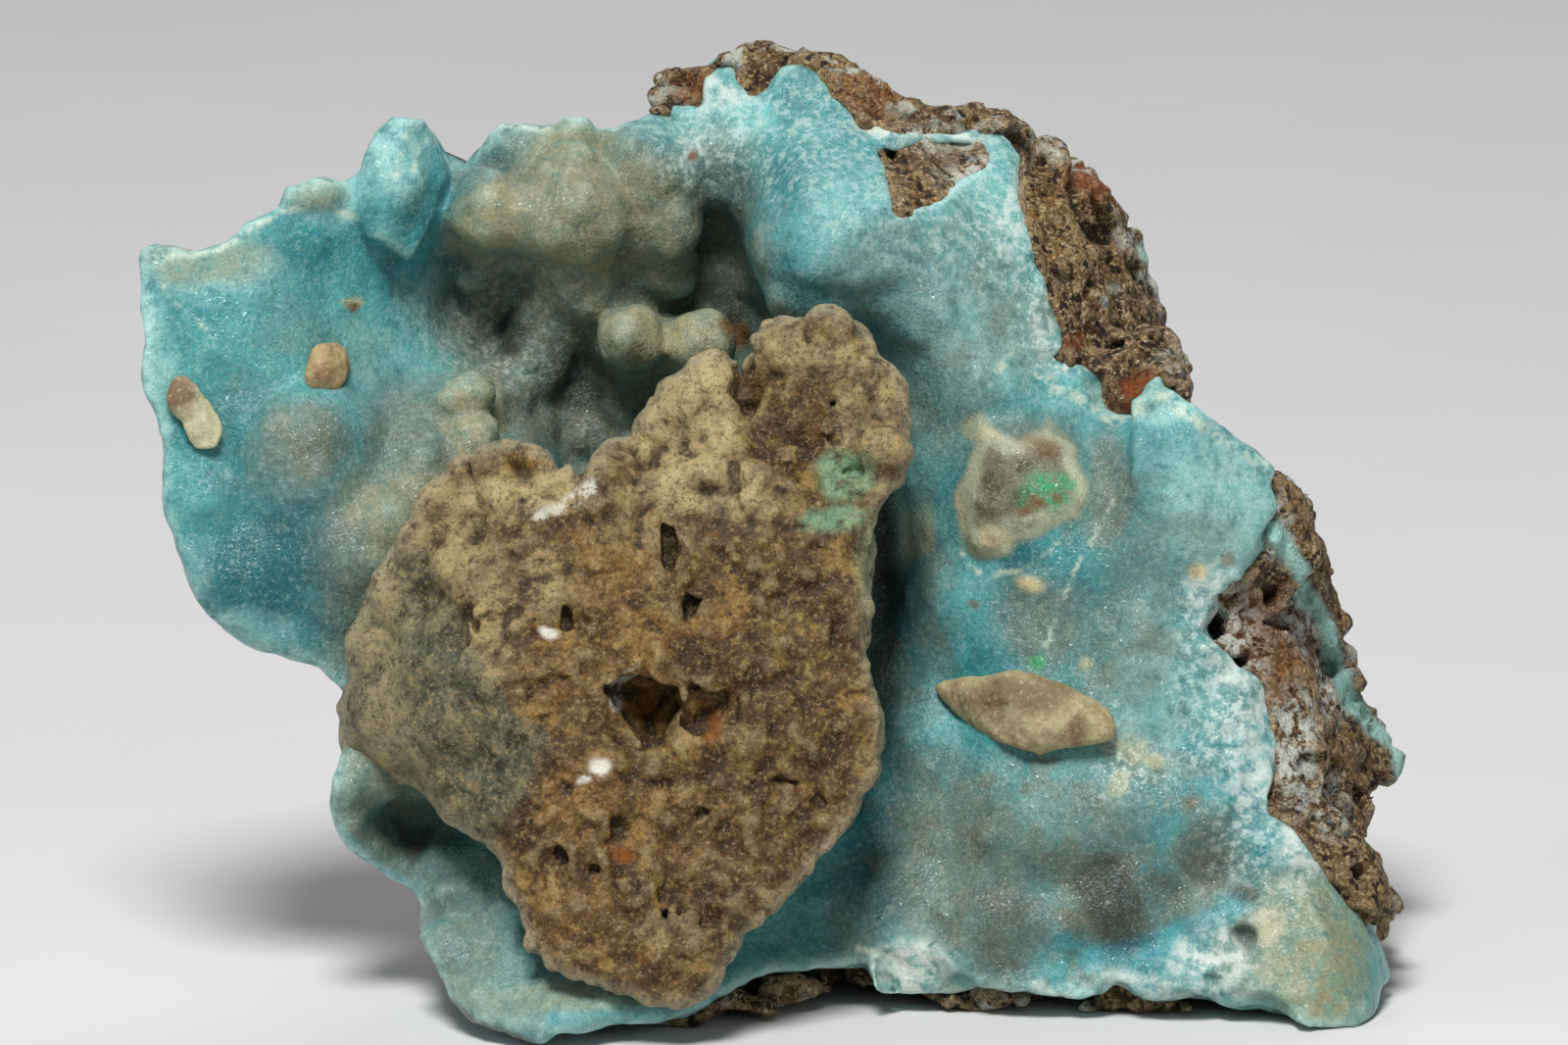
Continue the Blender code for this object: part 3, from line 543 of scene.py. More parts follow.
# u, v, radius, rise above the surface
CRUST_KNOBS = [
    (-29.4, 84.4, 3.8, 1.5), (-30.4, 79.6, 3.4, 0.8), (-21.2, 84.5, 5.6, 1.6),
    (-21, 92.4, 2.4, 0.9), (-20.5, 78.2, 4.8, 1.2), (-12.8, 84.2, 4.4, 1.5),
    (-12.2, 79.4, 3.8, 1), (-14, 89.2, 3.4, 0.8), (-24.4, 88.8, 2.8, 0.6), (-24, 73.8, 3.4, 0.8),
    (-25.6, 68.6, 3.2, 0.6), (-31.4, 65.8, 2.5, 1.3), (-31.2, 61.4, 2.6, 1),
    (-15.2, 71.6, 3.3, 1), (-12.4, 68.8, 3.2, 0.9), (-8.8, 71, 3, 1.2), (-14.6, 65.6, 3.4, 0.8),
    (-11, 64.6, 3.2, 0.6), (-15, 61, 3.2, 0.6), (-58.4, 54.8, 3.4, 0.5), (-48, 60.3, 6, 0.6),
    (-36.5, 57, 2.8, 0.7), (-40.5, 53, 3, 0.6), (-44.5, 49, 3, 0.5), (-39, 47.5, 2.8, 0.6),
    (5, 81, 8, 1), (-31, 15.5, 4.6, 0.9), (-41, 28.5, 3.4, 0.6), (-33.5, 8.5, 4, 0.5),
    (25.3, 46.9, 1.2, 0.35), (40.4, 23.9, 1.3, 0.25), (42.7, 47.3, 0.9, 0.3),
]
# Broad swells without lumps
CRUST_SWELLS = [
    (14, 76, 5, 0.5), (16, 30, 6, 0.6), (26, 22, 6, 0.6), (34, 24, 5, 0.5), (24, 33.5, 5, 0.4),
    (13, 16, 4.5, 0.6), (28, 12, 4, 0.5), (40, 19, 3.5, 0.4), (21, 51.4, 1.7, 0.45),
]
CRUST_FILLS = [
    (-20.5, 65, 5.5, 8, -5.5), (-7.5, 79, 4.5, 6.5, -6.5), (-31, 75, 4.5, 5, -4.5),
    (-13, 67.5, 5, 4.5, -3.4), (-13.5, 61.5, 4, 5, -5.5),
]
CRUST_GROOVES = [
    (1.5, 1.1, [(-25.6, 90), (-25.9, 84), (-26, 79), (-26.5, 75.5)]),
    (1.3, 0.9, [(-16.6, 90), (-16.8, 84), (-16, 79)]),
    (0.5, 0.5, [(-12.3, 74.6), (-12, 71)]),
]
CRUST_PITS = [(46.5, 11, 1.6, 1.5, 1), (-37, 24.5, 2.4, 1.6, 0.3)]
CRUST_RAISED = [
    (47.5, 86.4, 3.4, 1.6, 1), (-47.5, 86.2, 3.2, 1.6, 1), (42.7, 47.3, 0.9, 0.9, 0.6),
]
CRUST_BROKEN = [
    (46, 40, 4.5, 9, 1), (47, 28, 4, 6, 1), (52.5, 20, 3.5, 4, 0.8), (40, 6, 12, 3.2, 1),
    (13.5, 8, 4.5, 3.2, 1), (24, 5.6, 8, 1.6, 0.7), (27.5, 73, 2, 6, 0.8), (35, 66, 7, 2, 0.8),
    (18, 93, 12, 1.6, 0.7), (-8, 98, 7, 3, 0.6), (43.5, 9.5, 4, 2.6, 0.8),
]
CRUST_FACETS = [
    (55.5, 8, 6, 8, 20.5, -0.42, -0.1), (51.5, 10, 4.5, 8, 20.2, 0.15, -0.22),
    (58, 10, 4, 7, 17.6, -1, -0.25), (46, 3.5, 6, 3, 18.4, 0.05, 0.5),
    (13.5, 8, 4.5, 3.5, 15.8, 0.3, 0.45), (16.5, 5.5, 4, 2.4, 14.6, -0.2, 0.6),
    (-62, 79, 4, 3, 13.5, 0.1, -0.5), (-57, 81, 4, 2.6, 12.8, 0, -0.8),
]
RAGGED_SIDE = [(42, 50, 32, 70, 1), (0, 100, 12, 8, 1)]
FIN = [
    (-43.6, 85), (-42.7, 88.6), (-42.1, 90.2), (-41.2, 92.4), (-39.6, 94.1), (-36.4, 93.9),
    (-35.5, 92.4), (-34.7, 90.9), (-34.2, 88), (-35.5, 83), (-38, 79.5), (-42, 82),
]
FIN_PLANES = [(9.9 + 0.45 * 40.3, 0.45, 0.0), (9.9 - 0.85 * 40.3, -0.85, 0.0),
              (10.0 + 0.45 * 88.0, 0.0, -0.45)]
SLAB = [
    (35.4, 51.5), (35.4, 60), (35.6, 64.6), (38.3, 67.5), (42, 64.6), (45, 62.4), (50.2, 58.6),
    (50.6, 55), (47.5, 49.5), (43, 47.5), (38.5, 48),
]
SLAB_PLANES = [(16.0 + 0.12 * 36, -0.12, 0.0), (14.9 + 0.62 * 42, -0.62, 0.0),
               (15.6 + 0.55 * 61.5, 0.0, -0.55), (12.6 - 0.40 * 50, 0.0, 0.40)]
NODULE = [
    (19.5, 63.4), (22.2, 63), (24.6, 62.4), (27.5, 63.6), (30.2, 61.4), (31.7, 57.6), (31.4, 55),
    (30.2, 53.5), (27, 52.4), (23.4, 51.4), (22.6, 49.8), (19.8, 49.2), (18.3, 50.6),
    (17.9, 53.5), (18.3, 58),
]
DRUSE_ZONE = [(-21, 78, 16, 19, 1), (-36, 38, 9, 24, 1), (-34, 60, 9, 9, 1), (-12, 74, 10, 9, 1)]

# Patches of colour: u, v, half width, half height, weight
CRUST_MARKS = {
    "grey": [
        (-20, 66, 12, 10, 1), (-12, 66, 9, 9, 1), (-7, 78, 6, 9, 0.9), (-12, 82, 8, 8, 1),
        (-27, 73, 8, 8, 0.9), (-40, 22, 7, 8, 0.8), (-34, 12, 8, 9, 0.7), (-25, 6, 7, 4, 0.5),
        (-40, 30, 6, 6, 0.8), (-4, 73, 7, 5, 0.8), (26, 43, 5, 5, 0.7), (19, 18, 8, 10, 0.8),
        (30, 22, 8, 6, 0.6), (-21, 84, 12, 10, 1), (-24, 70, 10, 11, 1), (-13, 72, 8, 7, 1),
        (-48.3, 60.3, 5, 5, 0.8), (-35, 61, 7, 7, 0.85), (-40, 50, 7, 9, 0.7),
        (-36, 40, 8, 13, 0.95), (-39, 26, 7, 8, 0.75), (-31, 15, 5, 6, 0.65),
        (26.5, 60.5, 4.5, 3.4, 0.8), (12, 77, 7, 6, 0.4), (17, 66, 6, 8, 0.5),
        (33.8, 14.5, 3.4, 5.5, 0.9), (22.7, 13, 4.2, 7, 0.8), (43.2, 19.4, 4.2, 4.4, 0.8),
        (46.6, 15.5, 1.6, 1.2, 0.8), (39, 15.5, 3, 2.6, 0.6), (27.4, 19.4, 4, 3.6, 0.55),
        (16, 21.5, 3.4, 5, 0.7), (15.5, 27.5, 4, 4, 0.5), (33.8, 40, 5.5, 6, 0.45),
        (15.8, 40.3, 2.6, 3, 0.5), (33, 56, 2.4, 6, 0.85), (24, 73, 5, 5, 0.5),
        (42, 50, 5, 5, 0.3), (-8, 87, 6, 6, 0.6), (11, 62, 3.5, 12, 0.5), (13, 50, 4, 8, 0.35),
        (30, 31, 7, 5, 0.3), (-49.5, 73, 4, 3, 0.25), (-53, 66, 3, 2, 0.2), (20, 80, 5, 5, 0.35),
        (8, 12, 4, 5, 0.4), (36, 48, 4, 6, 0.4), (-44, 70, 4, 4, 0.2), (-3, 68, 4, 5, 0.6),
        (12, 34, 4, 6, 0.35), (24, 26, 4, 3, 0.35),
    ],
    # olive: grey-olive druse; the first two patches also lift the shaded undersides of the grey
    # masses as painted light
    "olive": [
        (-21, 79, 6, 5, 0.45), (-13, 79, 5, 5, 0.35), (-6.5, 71.5, 3.4, 3, 0.8),
        (-38, 30, 5, 5, 0.45), (52, 11, 7, 7, 0.8), (-29.5, 83.5, 4.2, 4, 0.9),
        (-19, 86, 8, 5, 0.5), (-13, 72, 7, 4, 0.9), (-31.3, 64, 3.4, 4.4, 0.9),
        (-38, 54, 6, 5, 0.6), (-38, 45, 5, 5, 0.5), (-36, 34, 5, 8, 0.45), (-21, 92, 4, 2.5, 0.6),
        (54, 8, 5.5, 5.5, 0.95), (-58, 79.5, 6, 2.5, 0.6), (-47.5, 86.2, 3.4, 1.6, 0.7),
        (-48, 60.3, 3, 3, 0.25), (-31, 4, 6, 3, 0.3), (-20, 5, 8, 2, 0.5), (30, 15, 3, 3, 0.4),
        (35, 66, 4, 2, 0.3),
    ],
    # deep: painted shade in dark teal, in the vug, in the crevices beside the block and over the
    # lower part of the left lobe
    "deep": [
        (-32, 75.5, 4.5, 6, 1), (-20, 63.5, 4, 6, 0.9), (-6.5, 79.5, 4, 6, 1), (-50, 47, 8, 8, 1),
        (-37, 80, 3, 8, 0.6), (-45, 44, 6, 6, 0.6), (0, 88, 6, 5, 0.5), (-50, 78, 5, 3, 0.35),
        (10, 30, 4, 20, 0.5), (33, 47, 5, 8, 0.35), (-55, 62, 5, 6, 0.4), (-42, 20, 3, 3, 0.6),
        (-10, 30, 4, 20, 0.6), (2, 96, 3, 4, 0.6), (30, 38, 6, 5, 0.3), (24, 49.6, 3, 1.8, 0.7),
        (49, 33, 4, 6, 0.3), (-42, 62, 4, 8, 0.4), (38, 36, 5, 10, 0.4), (9, 46, 3, 16, 0.6),
        (-7, 86, 3, 5, 0.4), (38.5, 58, 1.6, 5, 0.4),
    ],
    # pale: pale translucent crust, and on the slab at the right a painted highlight where it faces
    # the light
    "pale": [
        (44, 55, 7, 8, 1), (38, 36, 5, 9, 0.7), (21, 73, 7, 7, 0.8), (8, 82, 6, 6, 0.5),
        (16, 66, 6, 6, 0.4), (-41, 68, 5, 5, 0.4), (-58, 79, 7, 3.4, 0.7),
        (-38.5, 90, 2.6, 4.5, 0.9), (-46, 85.6, 4, 2.4, 0.8), (-64, 68, 2.2, 14, 0.8),
        (47, 60, 4, 7, 0.5), (36, 65, 8, 1.8, 0.8), (52, 25, 3, 6, 0.6), (49, 53, 2, 6, 0.8),
        (20, 74, 6, 7, 0.6), (5, 92, 8, 4, 0.15), (14, 84, 7, 4, 0.3), (22, 80, 3, 6, 0.5),
        (26, 73, 3, 6, 0.6), (-24, 4, 8, 2.4, 0.4), (-36, 74.5, 3, 3.6, 0.5), (20, 88, 5, 4, 0.5),
        (-31, 11, 4, 4, 0.3), (8, 72, 6, 5, 0.3), (-42, 87, 2, 1.5, 0.6), (18, 48, 3, 4, 0.2),
        (-55, 42, 6, 2, 0.4), (15, 12, 3, 4, 0.4), (-6, 94, 5, 3, 0.6),
    ],
    "white": [
        (46.5, 38, 3.6, 8, 0.8), (47.6, 28, 3, 5, 0.7), (52.5, 20, 2.6, 4, 0.9),
        (43.5, 45, 2, 3, 0.7), (13.5, 8, 4, 2.6, 1), (43.5, 9.5, 4.2, 2.8, 1),
        (40, 6.5, 10, 1.6, 0.7), (24, 5.2, 7, 0.9, 0.6), (27, 72, 1.6, 4, 0.7),
        (18, 93, 12, 0.9, 0.8), (-8, 96.5, 5, 1.4, 0.7), (49, 12, 2, 1.6, 0.6),
        (30, 69, 3, 1.2, 0.8), (-9, 90.5, 2.4, 2, 0.55), (24, 84, 1.4, 4, 0.6),
    ],
    "cream": [
        (21, 51.3, 1.8, 1.2, 0.9), (13.8, 52.5, 1.2, 2.6, 0.4), (21, 61.5, 1.6, 1.4, 0.5),
        (25.3, 46.9, 1.3, 0.85, 1), (42.7, 47.3, 0.8, 0.8, 1), (36, 30, 2, 1.4, 0.45),
        (49.2, 12, 1.8, 1.6, 0.6), (-43.2, 75.4, 0.8, 0.6, 0.8), (17.6, 53.4, 0.7, 2, 0.4),
        (31, 38.4, 0.6, 0.8, 0.6), (38, 29, 1.2, 1, 0.6), (34, 27, 1, 1.2, 0.5),
    ],
    "green": [
        (26.2, 55.9, 2.4, 1.5, 1), (28.4, 57.2, 1.2, 0.8, 0.9), (25.1, 39.5, 1.1, 1, 1),
        (24.8, 54.8, 1.2, 0.7, 0.7),
    ],
    "rust": [
        (24.2, 54.2, 0.9, 0.4, 0.9), (27.4, 55.6, 0.6, 0.4, 0.8), (42.6, 47.2, 0.4, 0.4, 0.5),
        (11, 40, 0.6, 0.5, 0.4), (-43.2, 74.9, 0.5, 0.6, 1), (-9, 90.3, 0.7, 0.6, 1),
        (19.2, 43.7, 0.5, 0.5, 0.9), (44.8, 49.6, 0.8, 0.9, 0.6), (40.4, 23.9, 1.2, 0.9, 0.55),
        (-4.7, 72.5, 1.8, 1.5, 1), (26.5, 60.6, 2.2, 1.4, 0.7), (-61, 81.4, 2, 0.8, 1),
        (25.2, 54.8, 1, 0.5, 0.9), (21, 51.3, 0.7, 0.4, 0.6), (-36.2, 52.6, 0.5, 0.4, 0.6),
    ],
    # dark: painted shade, near-black in the vug's hollows, in the pit and in the crevice beside the
    # block, and dark blotches low on the right
    "dark": [
        (-27.4, 73, 2.2, 2, 0.85), (-6.5, 78.5, 2, 3.4, 0.25), (-20.7, 66.2, 2.4, 2.6, 0.7),
        (-31.5, 76, 3, 2.6, 0.35), (46.5, 11, 1.3, 1.2, 0.8), (-31, 38, 2.4, 6, 0.4),
        (10, 52, 2.2, 8, 1), (9.5, 40, 2, 10, 0.8), (33.8, 14, 3, 4.6, 0.8),
        (-46.7, 60.2, 3.4, 3, 0.35), (22.7, 12, 2.6, 5, 0.4), (43, 19.5, 2.8, 2.8, 0.5),
        (46.6, 15.5, 1.6, 1.2, 0.7), (32, 17.5, 3, 2.4, 0.8), (30, 12.4, 2, 3, 0.4),
        (38.6, 16.4, 2.4, 1.6, 0.5), (27, 19, 2.4, 2.2, 0.3), (-3.6, 74.4, 2.4, 1.6, 0.3),
    ],
    "blotched": [
        (28, 18, 24, 18, 1), (34, 44, 12, 14, 0.7), (14, 40, 6, 20, 0.7), (16, 72, 10, 12, 0.6),
        (-36, 40, 9, 22, 0.8), (-18, 84, 16, 12, 0.8), (-50, 62, 8, 10, 0.35),
        (-36, 14, 8, 12, 0.6), (4, 84, 8, 8, 0.3),
    ],
    "frost": [
        (2, 92, 12, 7, 0.45), (-8, 91, 6, 5, 0.5), (24, 84, 6, 8, 0.6), (27, 75, 4, 8, 0.8),
        (48, 58, 5, 5, 0.35), (44, 38, 4, 11, 0.7), (36, 28, 4, 3, 0.7), (34, 33, 3, 2, 0.3),
        (-27, 72, 10, 6, 0.3), (30, 70, 6, 2.4, 0.8), (48, 22, 5, 5, 0.6), (14, 84, 8, 6, 0.35),
        (50, 14, 6, 4, 0.4),
    ],
}
# Lines of colour: half width, then the points
CRUST_LINES = {
    "streak": [
        (0.7, [(26, 67.5), (30, 65.5), (34, 63), (38.3, 66), (42, 63), (45, 61), (50, 58.5)]),
        (0.6, [(6, 97), (8, 93.5), (12, 92.5), (22, 93)]),
        (0.5, [(21, 66), (22, 68), (23.5, 70.5)]),
        (0.22, [(33.5, 55), (30, 49), (26.5, 40)]),
        (0.3, [(18, 49.8), (18.9, 48.2), (21.5, 47.4), (24.4, 48.2), (27, 50), (28.8, 52)]),
        (0.35, [(-37.8, 93.4), (-39.1, 87.9)]),
        (0.3, [(-36.4, 92), (-37.4, 88)]),
        (0.3, [(-62.7, 77.5), (-60.5, 74.5), (-57.5, 71.7)]),
        # a pale fibre band with a painted highlight along the left lobe's top ledge
        (0.35, [(-62, 79.6), (-57, 80.5), (-53, 82.8), (-49.5, 84.6), (-46, 84.9), (-43, 83.8)]),
        (0.3, [(-28.6, 93.2), (-23.2, 93)]),
        (0.4, [(8, 10), (12, 9), (16, 6.5), (22, 4.6)]),
    ],
    "bright": [
        (1.5, [(46, 14.6), (44.2, 12.8), (41, 11.4), (37, 10.6), (31, 8.6)]),
        (1.2, [(-34.5, 90), (-35.5, 84), (-38, 78)]),
        (0.9, [(-23, 3.2), (-13, 3.2)]),
        (0.8, [(-44.6, 22), (-41, 18.6), (-37, 16)]),
    ],
    "earth": [
        (1.6, [(-33.4, 3.6), (-31, 1.8), (-28, 0.6), (-24.6, -0.6)]),
    ],
}


def crust():
    body = Body("hemimorphite_crust", voxel=0.45, soften=0.8, seed=11)
    body.phi -= 0.20 + 0.7 * body.rim(2.4)
    body.phi -= body.fractal((9.0, 0.35), (4.0, 0.14))
    body.fill(CRUST_FILLS)
    body.grooves(CRUST_GROOVES, rough=0.2)
    body.knobs(CRUST_KNOBS)
    body.knobs(CRUST_SWELLS, lumps=0)
    body.plate(FIN, FIN_PLANES)
    body.plate(SLAB, SLAB_PLANES)
    body.pits(CRUST_PITS, rough=0.2)
    body.beads(90, DRUSE_ZONE, (1.8, 3.8), rise=0.20, seed=21, facing=0.1)
    body.beads(60, EVERYWHERE, (1.6, 3.2), rise=0.10, seed=22, facing=0.4)
    body.beads(420, CRUST_MARKS["grey"], (0.8, 1.8), rise=0.26, seed=23, facing=-0.3, seam=0.45)
    body.phi -= (0.7 * smoothstep(0.4, -1.6, body.beyond(NODULE))).astype(np.float32)
    body.phi -= 0.55 * body.zone(CRUST_RAISED, 0.25)
    body.phi = blurred(body.phi, 0.7)
    body.facets(CRUST_FACETS)
    body.phi -= body.fractal((1.8, 0.09), (1.0, 0.08))
    crumple = np.abs(body.noise(2.2)) + 0.6 * np.abs(body.noise(1.2))
    body.phi += body.zone(CRUST_BROKEN, 0.35) * (0.9 * crumple - 0.8)
    ragged = body.fractal((2.6, 0.25), (1.1, 0.22))
    ragged = ragged + body.zone(RAGGED_SIDE, 0.2) * body.fractal((5.0, 0.5), (1.8, 0.5))
    body.cut_to(CRUST_OUTLINE, ragged)
    body.cut_to(CRUST_WINDOW, ragged, sign=-1)
    body.stand()
    piece = body.piece("crust", body.behind)
    points, front = body.paint(piece, CRUST_MARKS, CRUST_LINES, body.rim(1.1))
    inside = outline_distance(body.warped(points), NODULE)
    nodule = front * smoothstep(0.3, -0.5, inside)
    set_attribute(piece, "nodule", nodule)
    set_attribute(piece, "ring", nodule * smoothstep(-2.6, -1.2, inside))
    return piece, body


# Matrix
MATRIX_MARKS = {
    "rust": [
        (36.5, 66, 2.4, 2, 1), (29.5, 72, 1.2, 1, 0.9), (32, 88, 2.6, 2.6, 0.8),
        (-4.7, 72.5, 1.8, 1.6, 0.9), (48, 40, 6, 5, 0.4), (56, 10, 4, 5, 0.3),
        (10, 97, 6, 3, 0.35), (-9, 97.5, 3, 2.4, 0.5),
    ],
    "white": [
        (57, 36, 2.2, 4, 0.9), (53.3, 43, 2.6, 3, 0.7), (52, 30, 2, 6, 0.9),
        (34, 76, 1.4, 1.2, 0.5), (50.5, 52, 1.6, 3.4, 0.8), (55.5, 24, 2, 3, 0.6),
        (20.5, 88, 3.8, 2.6, 0.8), (23, 85.3, 1.6, 1.2, 0.7), (39, 79, 1.7, 3.4, 0.8),
        (45.5, 35, 3.5, 11, 0.8), (27, 90.5, 2.5, 1, 0.4), (40, 70, 2, 2, 0.3),
        (47, 8, 4, 3, 0.5), (18, 92, 6, 1.2, 0.6), (36, 82, 1.6, 1.4, 0.5),
    ],
    "ochre": [
        (28.3, 86.2, 5, 4, 0.7), (31, 82, 4, 4, 0.6), (58, 30, 3, 4, 0.5), (24, 90, 5, 3, 0.6),
        (60, 14, 3, 5, 0.5), (8, 97, 6, 3.5, 0.7), (30, 88, 5, 4, 0.6), (35, 76, 4, 5, 0.35),
        (60, 22, 4, 6, 0.35), (54, 34, 4, 8, 0.5), (16, 88, 6, 5, 0.35),
        (-61, 81.6, 2.4, 1.2, 0.8), (53, 52, 4, 6, 0.4),
    ],
}
MATRIX_LINES = {
    "aqua": [
        (1.1, [(50, 52), (53, 47), (56, 42), (58, 36), (61, 32), (64, 30), (64, 27)]),
        (0.9, [(38, 81), (39.5, 78.5), (40, 76)]),
    ],
}
FLUSH_ZONE = [
    (36, 78, 16, 15, 1), (50, 52, 12, 14, 1), (54, 26, 12, 16, 1), (10, 97, 18, 6, 1),
    (-6, 98, 9, 5, 1),
]
# u, v, half width, half height, depth
MATRIX_HOLES = [
    (38.3, 70.2, 1.6, 1.8, 1.4), (34.6, 75, 1, 1.4, 1.2), (40.4, 66, 1, 1.4, 1.2),
    (36.4, 79, 0.8, 1.2, 1.2), (59.4, 25, 1.4, 1.2, 1.6), (57.8, 33, 1.2, 1.6, 1.4),
    (54.6, 40, 1, 1.4, 1.2), (61, 19, 1, 1.4, 1.2), (53, 47, 0.9, 1.3, 1.2),
    (61.4, 12, 1.2, 1, 1.2), (27, 89.5, 1.6, 0.9, 1.3), (55, 28.7, 1.8, 1.2, 1.6),
    (34, 4.5, 2, 1, 1.2), (44.5, 5.2, 3, 1.1, 1.2), (-10.5, 97.8, 2.4, 1.4, 0.9),
    (56, 42, 1.2, 2.4, 1), (58.5, 18, 1.6, 1.2, 1.2), (33, 79, 1.4, 1.2, 1),
    (37, 72, 1.2, 1.6, 1), (31, 81, 1.1, 0.9, 0.9), (42, 70.5, 1.3, 1, 1),
]


def matrix(crust_body):
    body = Body("limonite_matrix", voxel=0.45, soften=0.7, seed=31)
    edge = body.rim(1.6)
    body.phi -= np.clip(body.fractal((14.0, 1.0), (7.0, 0.9)), -2.0, 1.2) - 0.7
    flush_with(body, crust_body)
    grown = body.fractal((3.6, 0.5))
    grown += 1.2 * np.abs(body.noise(2.7)) + 0.8 * np.abs(body.noise(1.4)) - 0.8
    body.phi -= np.clip(grown, -1.5, 1.2)
    body.pits(MATRIX_HOLES, rough=0.7)
    hollow = body.fractal((2.3, 1.0), (1.15, 0.5), (8.0, 0.45))
    body.phi += 2.0 * smoothstep(0.5, 1.0, hollow).astype(np.float32)
    body.beads(3200, EVERYWHERE, (0.5, 1.1), rise=0.5, seed=32, seam=0.15)
    body.phi -= body.fractal((1.0, 0.25))
    body.stand()
    piece = body.piece("matrix", under_crust)
    body.paint(piece, MATRIX_MARKS, MATRIX_LINES, edge)
    return piece


def flush_with(body, crust_body):
    """Raise the matrix to just under the crust's front, in its window and along its edge."""
    height = crust_body.front()
    there = (height != NO_FRONT).astype(np.float32)
    sigma = 3.0 / crust_body.voxel
    spread = blurred(height * there, sigma) / (blurred(there, sigma) + 1e-3)
    us, vs, hs = body.axes()
    i, j = [np.clip(np.round(line.ravel() / crust_body.voxel).astype(int) - crust_body.low[axis],
                    0, spread.shape[axis] - 1) for axis, line in enumerate((us, vs))]
    away, hole = body.beyond(CRUST_OUTLINE), body.beyond(CRUST_WINDOW)
    drop = np.where(hole < 0.6, 0.7, 0.9 + np.where(away > 0, 0.55 * away, -1.4 * away))
    target = spread[np.ix_(i, j)][:, :, None] - drop
    reach = np.where(hole < 0.6, 1.0, body.zone(FLUSH_ZONE, 0.25) * (away < 5.0))
    reach = np.minimum(reach, blurred(body.cover(), 0.6 / body.voxel)[:, :, None])
    filled = np.maximum(hs - target, 3.0 * (0.5 - reach) + body.fractal((1.6, 0.3)))
    filled = np.maximum(filled, target - 9.0 - hs)
    body.phi = np.minimum(body.phi, filled.astype(np.float32))


def under_crust(points):
    """1 for corners of the matrix that the crust covers, by the crust's own surface."""
    cell, none, covered, deep = 4.0, -99.0, 4.0, 14.0

    def key(u, v):
        return int(round(u / cell)), int(round(v / cell))

    cover = {}
    for u, v, h in node_mesh("hemimorphite_crust")[0]:
        cover[key(u, v)] = max(cover.get(key(u, v), none), h)
    heights = np.array([cover.get(key(u, v), none) for u, v in points[:, :2]])
    h = points[:, 2]
    return np.where((h < heights - covered) & (h > heights - deep), 1.0, 0.0)


# Block
BLOCK_DRUSE_EDGE = [
    (-37.5, 52), (-35.5, 50), (-34.5, 47), (-32, 43), (-30, 40), (-27, 36), (-24, 32),
    (-24.5, 27), (-26.5, 23), (-29, 20.5), (-29, 10), (-29, 0),
]
# depth, outline
BLOCK_CAVITIES = [
    (3.4, [(-17.5, 36.2), (-15.8, 37.6), (-13.2, 37.6), (-10.6, 36.4), (-10.2, 34.6), (-11.4, 33),
           (-12, 30.8), (-13.6, 30.2), (-14.8, 32.4), (-16.4, 34.2)]),
    (2.8, [(-8.8, 36.4), (-7.4, 35.8), (-5.6, 35.9), (-5.2, 34.2), (-6.6, 32.4), (-8.6, 31.6),
           (-9.8, 32.6)]),
    (2.6, [(-11.8, 52.6), (-10.8, 52.4), (-10.4, 50.4), (-11, 48), (-12, 48.4), (-12.2, 50.6)]),
    (2, [(-9.6, 45.6), (-7.8, 45.2), (-8.4, 44), (-9.6, 42.8), (-10, 44.2)]),
    (2, [(-21.6, 44.6), (-20.8, 43.6), (-21, 42.2), (-21.8, 42), (-21.8, 43)]),
    (2, [(-22.8, 20.8), (-22, 20.6), (-21.4, 19.2), (-22, 18.8)]),
]
# u, v, half width, half height, depth
BLOCK_PITS = [
    (-21.4, 37.4, 0.8, 0.3, 0.6), (0.4, 44.8, 0.9, 0.35, 0.7), (0.3, 38.4, 0.4, 0.7, 0.6),
    (-18.6, 18.2, 0.5, 0.5, 0.7), (-15.3, 19.1, 1.2, 1.3, 0.4), (7.2, 58, 1.2, 0.7, 0.8),
    (-30.5, 52, 2.4, 2, 0.7), (5.6, 61.5, 0.9, 1.8, 0.6), (-9, 15, 4, 3.4, 0.5),
    (3, 63, 2, 4.5, 0.6), (-33, 43, 2.6, 4.4, 1.6), (2.8, 52.5, 1.6, 0.9, 0.5),
    (-3.3, 65.5, 1.4, 5.5, 1.8), (-3.6, 70.5, 1.6, 2.6, 2.2), (1.4, 27, 2, 0.35, 0.7),
]
# u, v, radius, rise
BLOCK_PETALS = [
    (-2.5, 57, 1.7, 0.7), (0.8, 59.4, 1.3, 0.6), (-15, 54.8, 1.9, 0.6), (-9, 57.6, 1.6, 0.6),
    (-28.6, 58.2, 2.6, 0.9), (-34, 54.4, 2.6, 0.7), (-24.8, 58.6, 1.8, 0.6),
    (-11.5, 62.4, 2.2, 0.9), (-7, 67.4, 2.6, 0.8), (-6.4, 63.4, 2.2, 0.6), (-9.4, 64.8, 1.6, 0.6),
    (-17.6, 60.2, 2, 0.8), (-13.6, 59.4, 1.7, 0.6), (1, 70.4, 2.4, 0.7), (4.8, 72, 2.2, 0.7),
    (8.4, 67.5, 2.2, 0.6), (10.4, 60, 2, 0.6), (10.8, 55.5, 1.6, 0.5), (-36.5, 50.5, 2.2, 0.7),
    (-32, 57.4, 2, 0.7), (0.6, 64.6, 1.6, 0.5), (-1.4, 53.8, 1.2, 0.6), (6.4, 64.6, 1.4, 0.5),
    (3.6, 54.4, 1.1, 0.5), (-21.5, 57.2, 1.4, 0.6), (-18, 54.6, 1.2, 0.5),
]
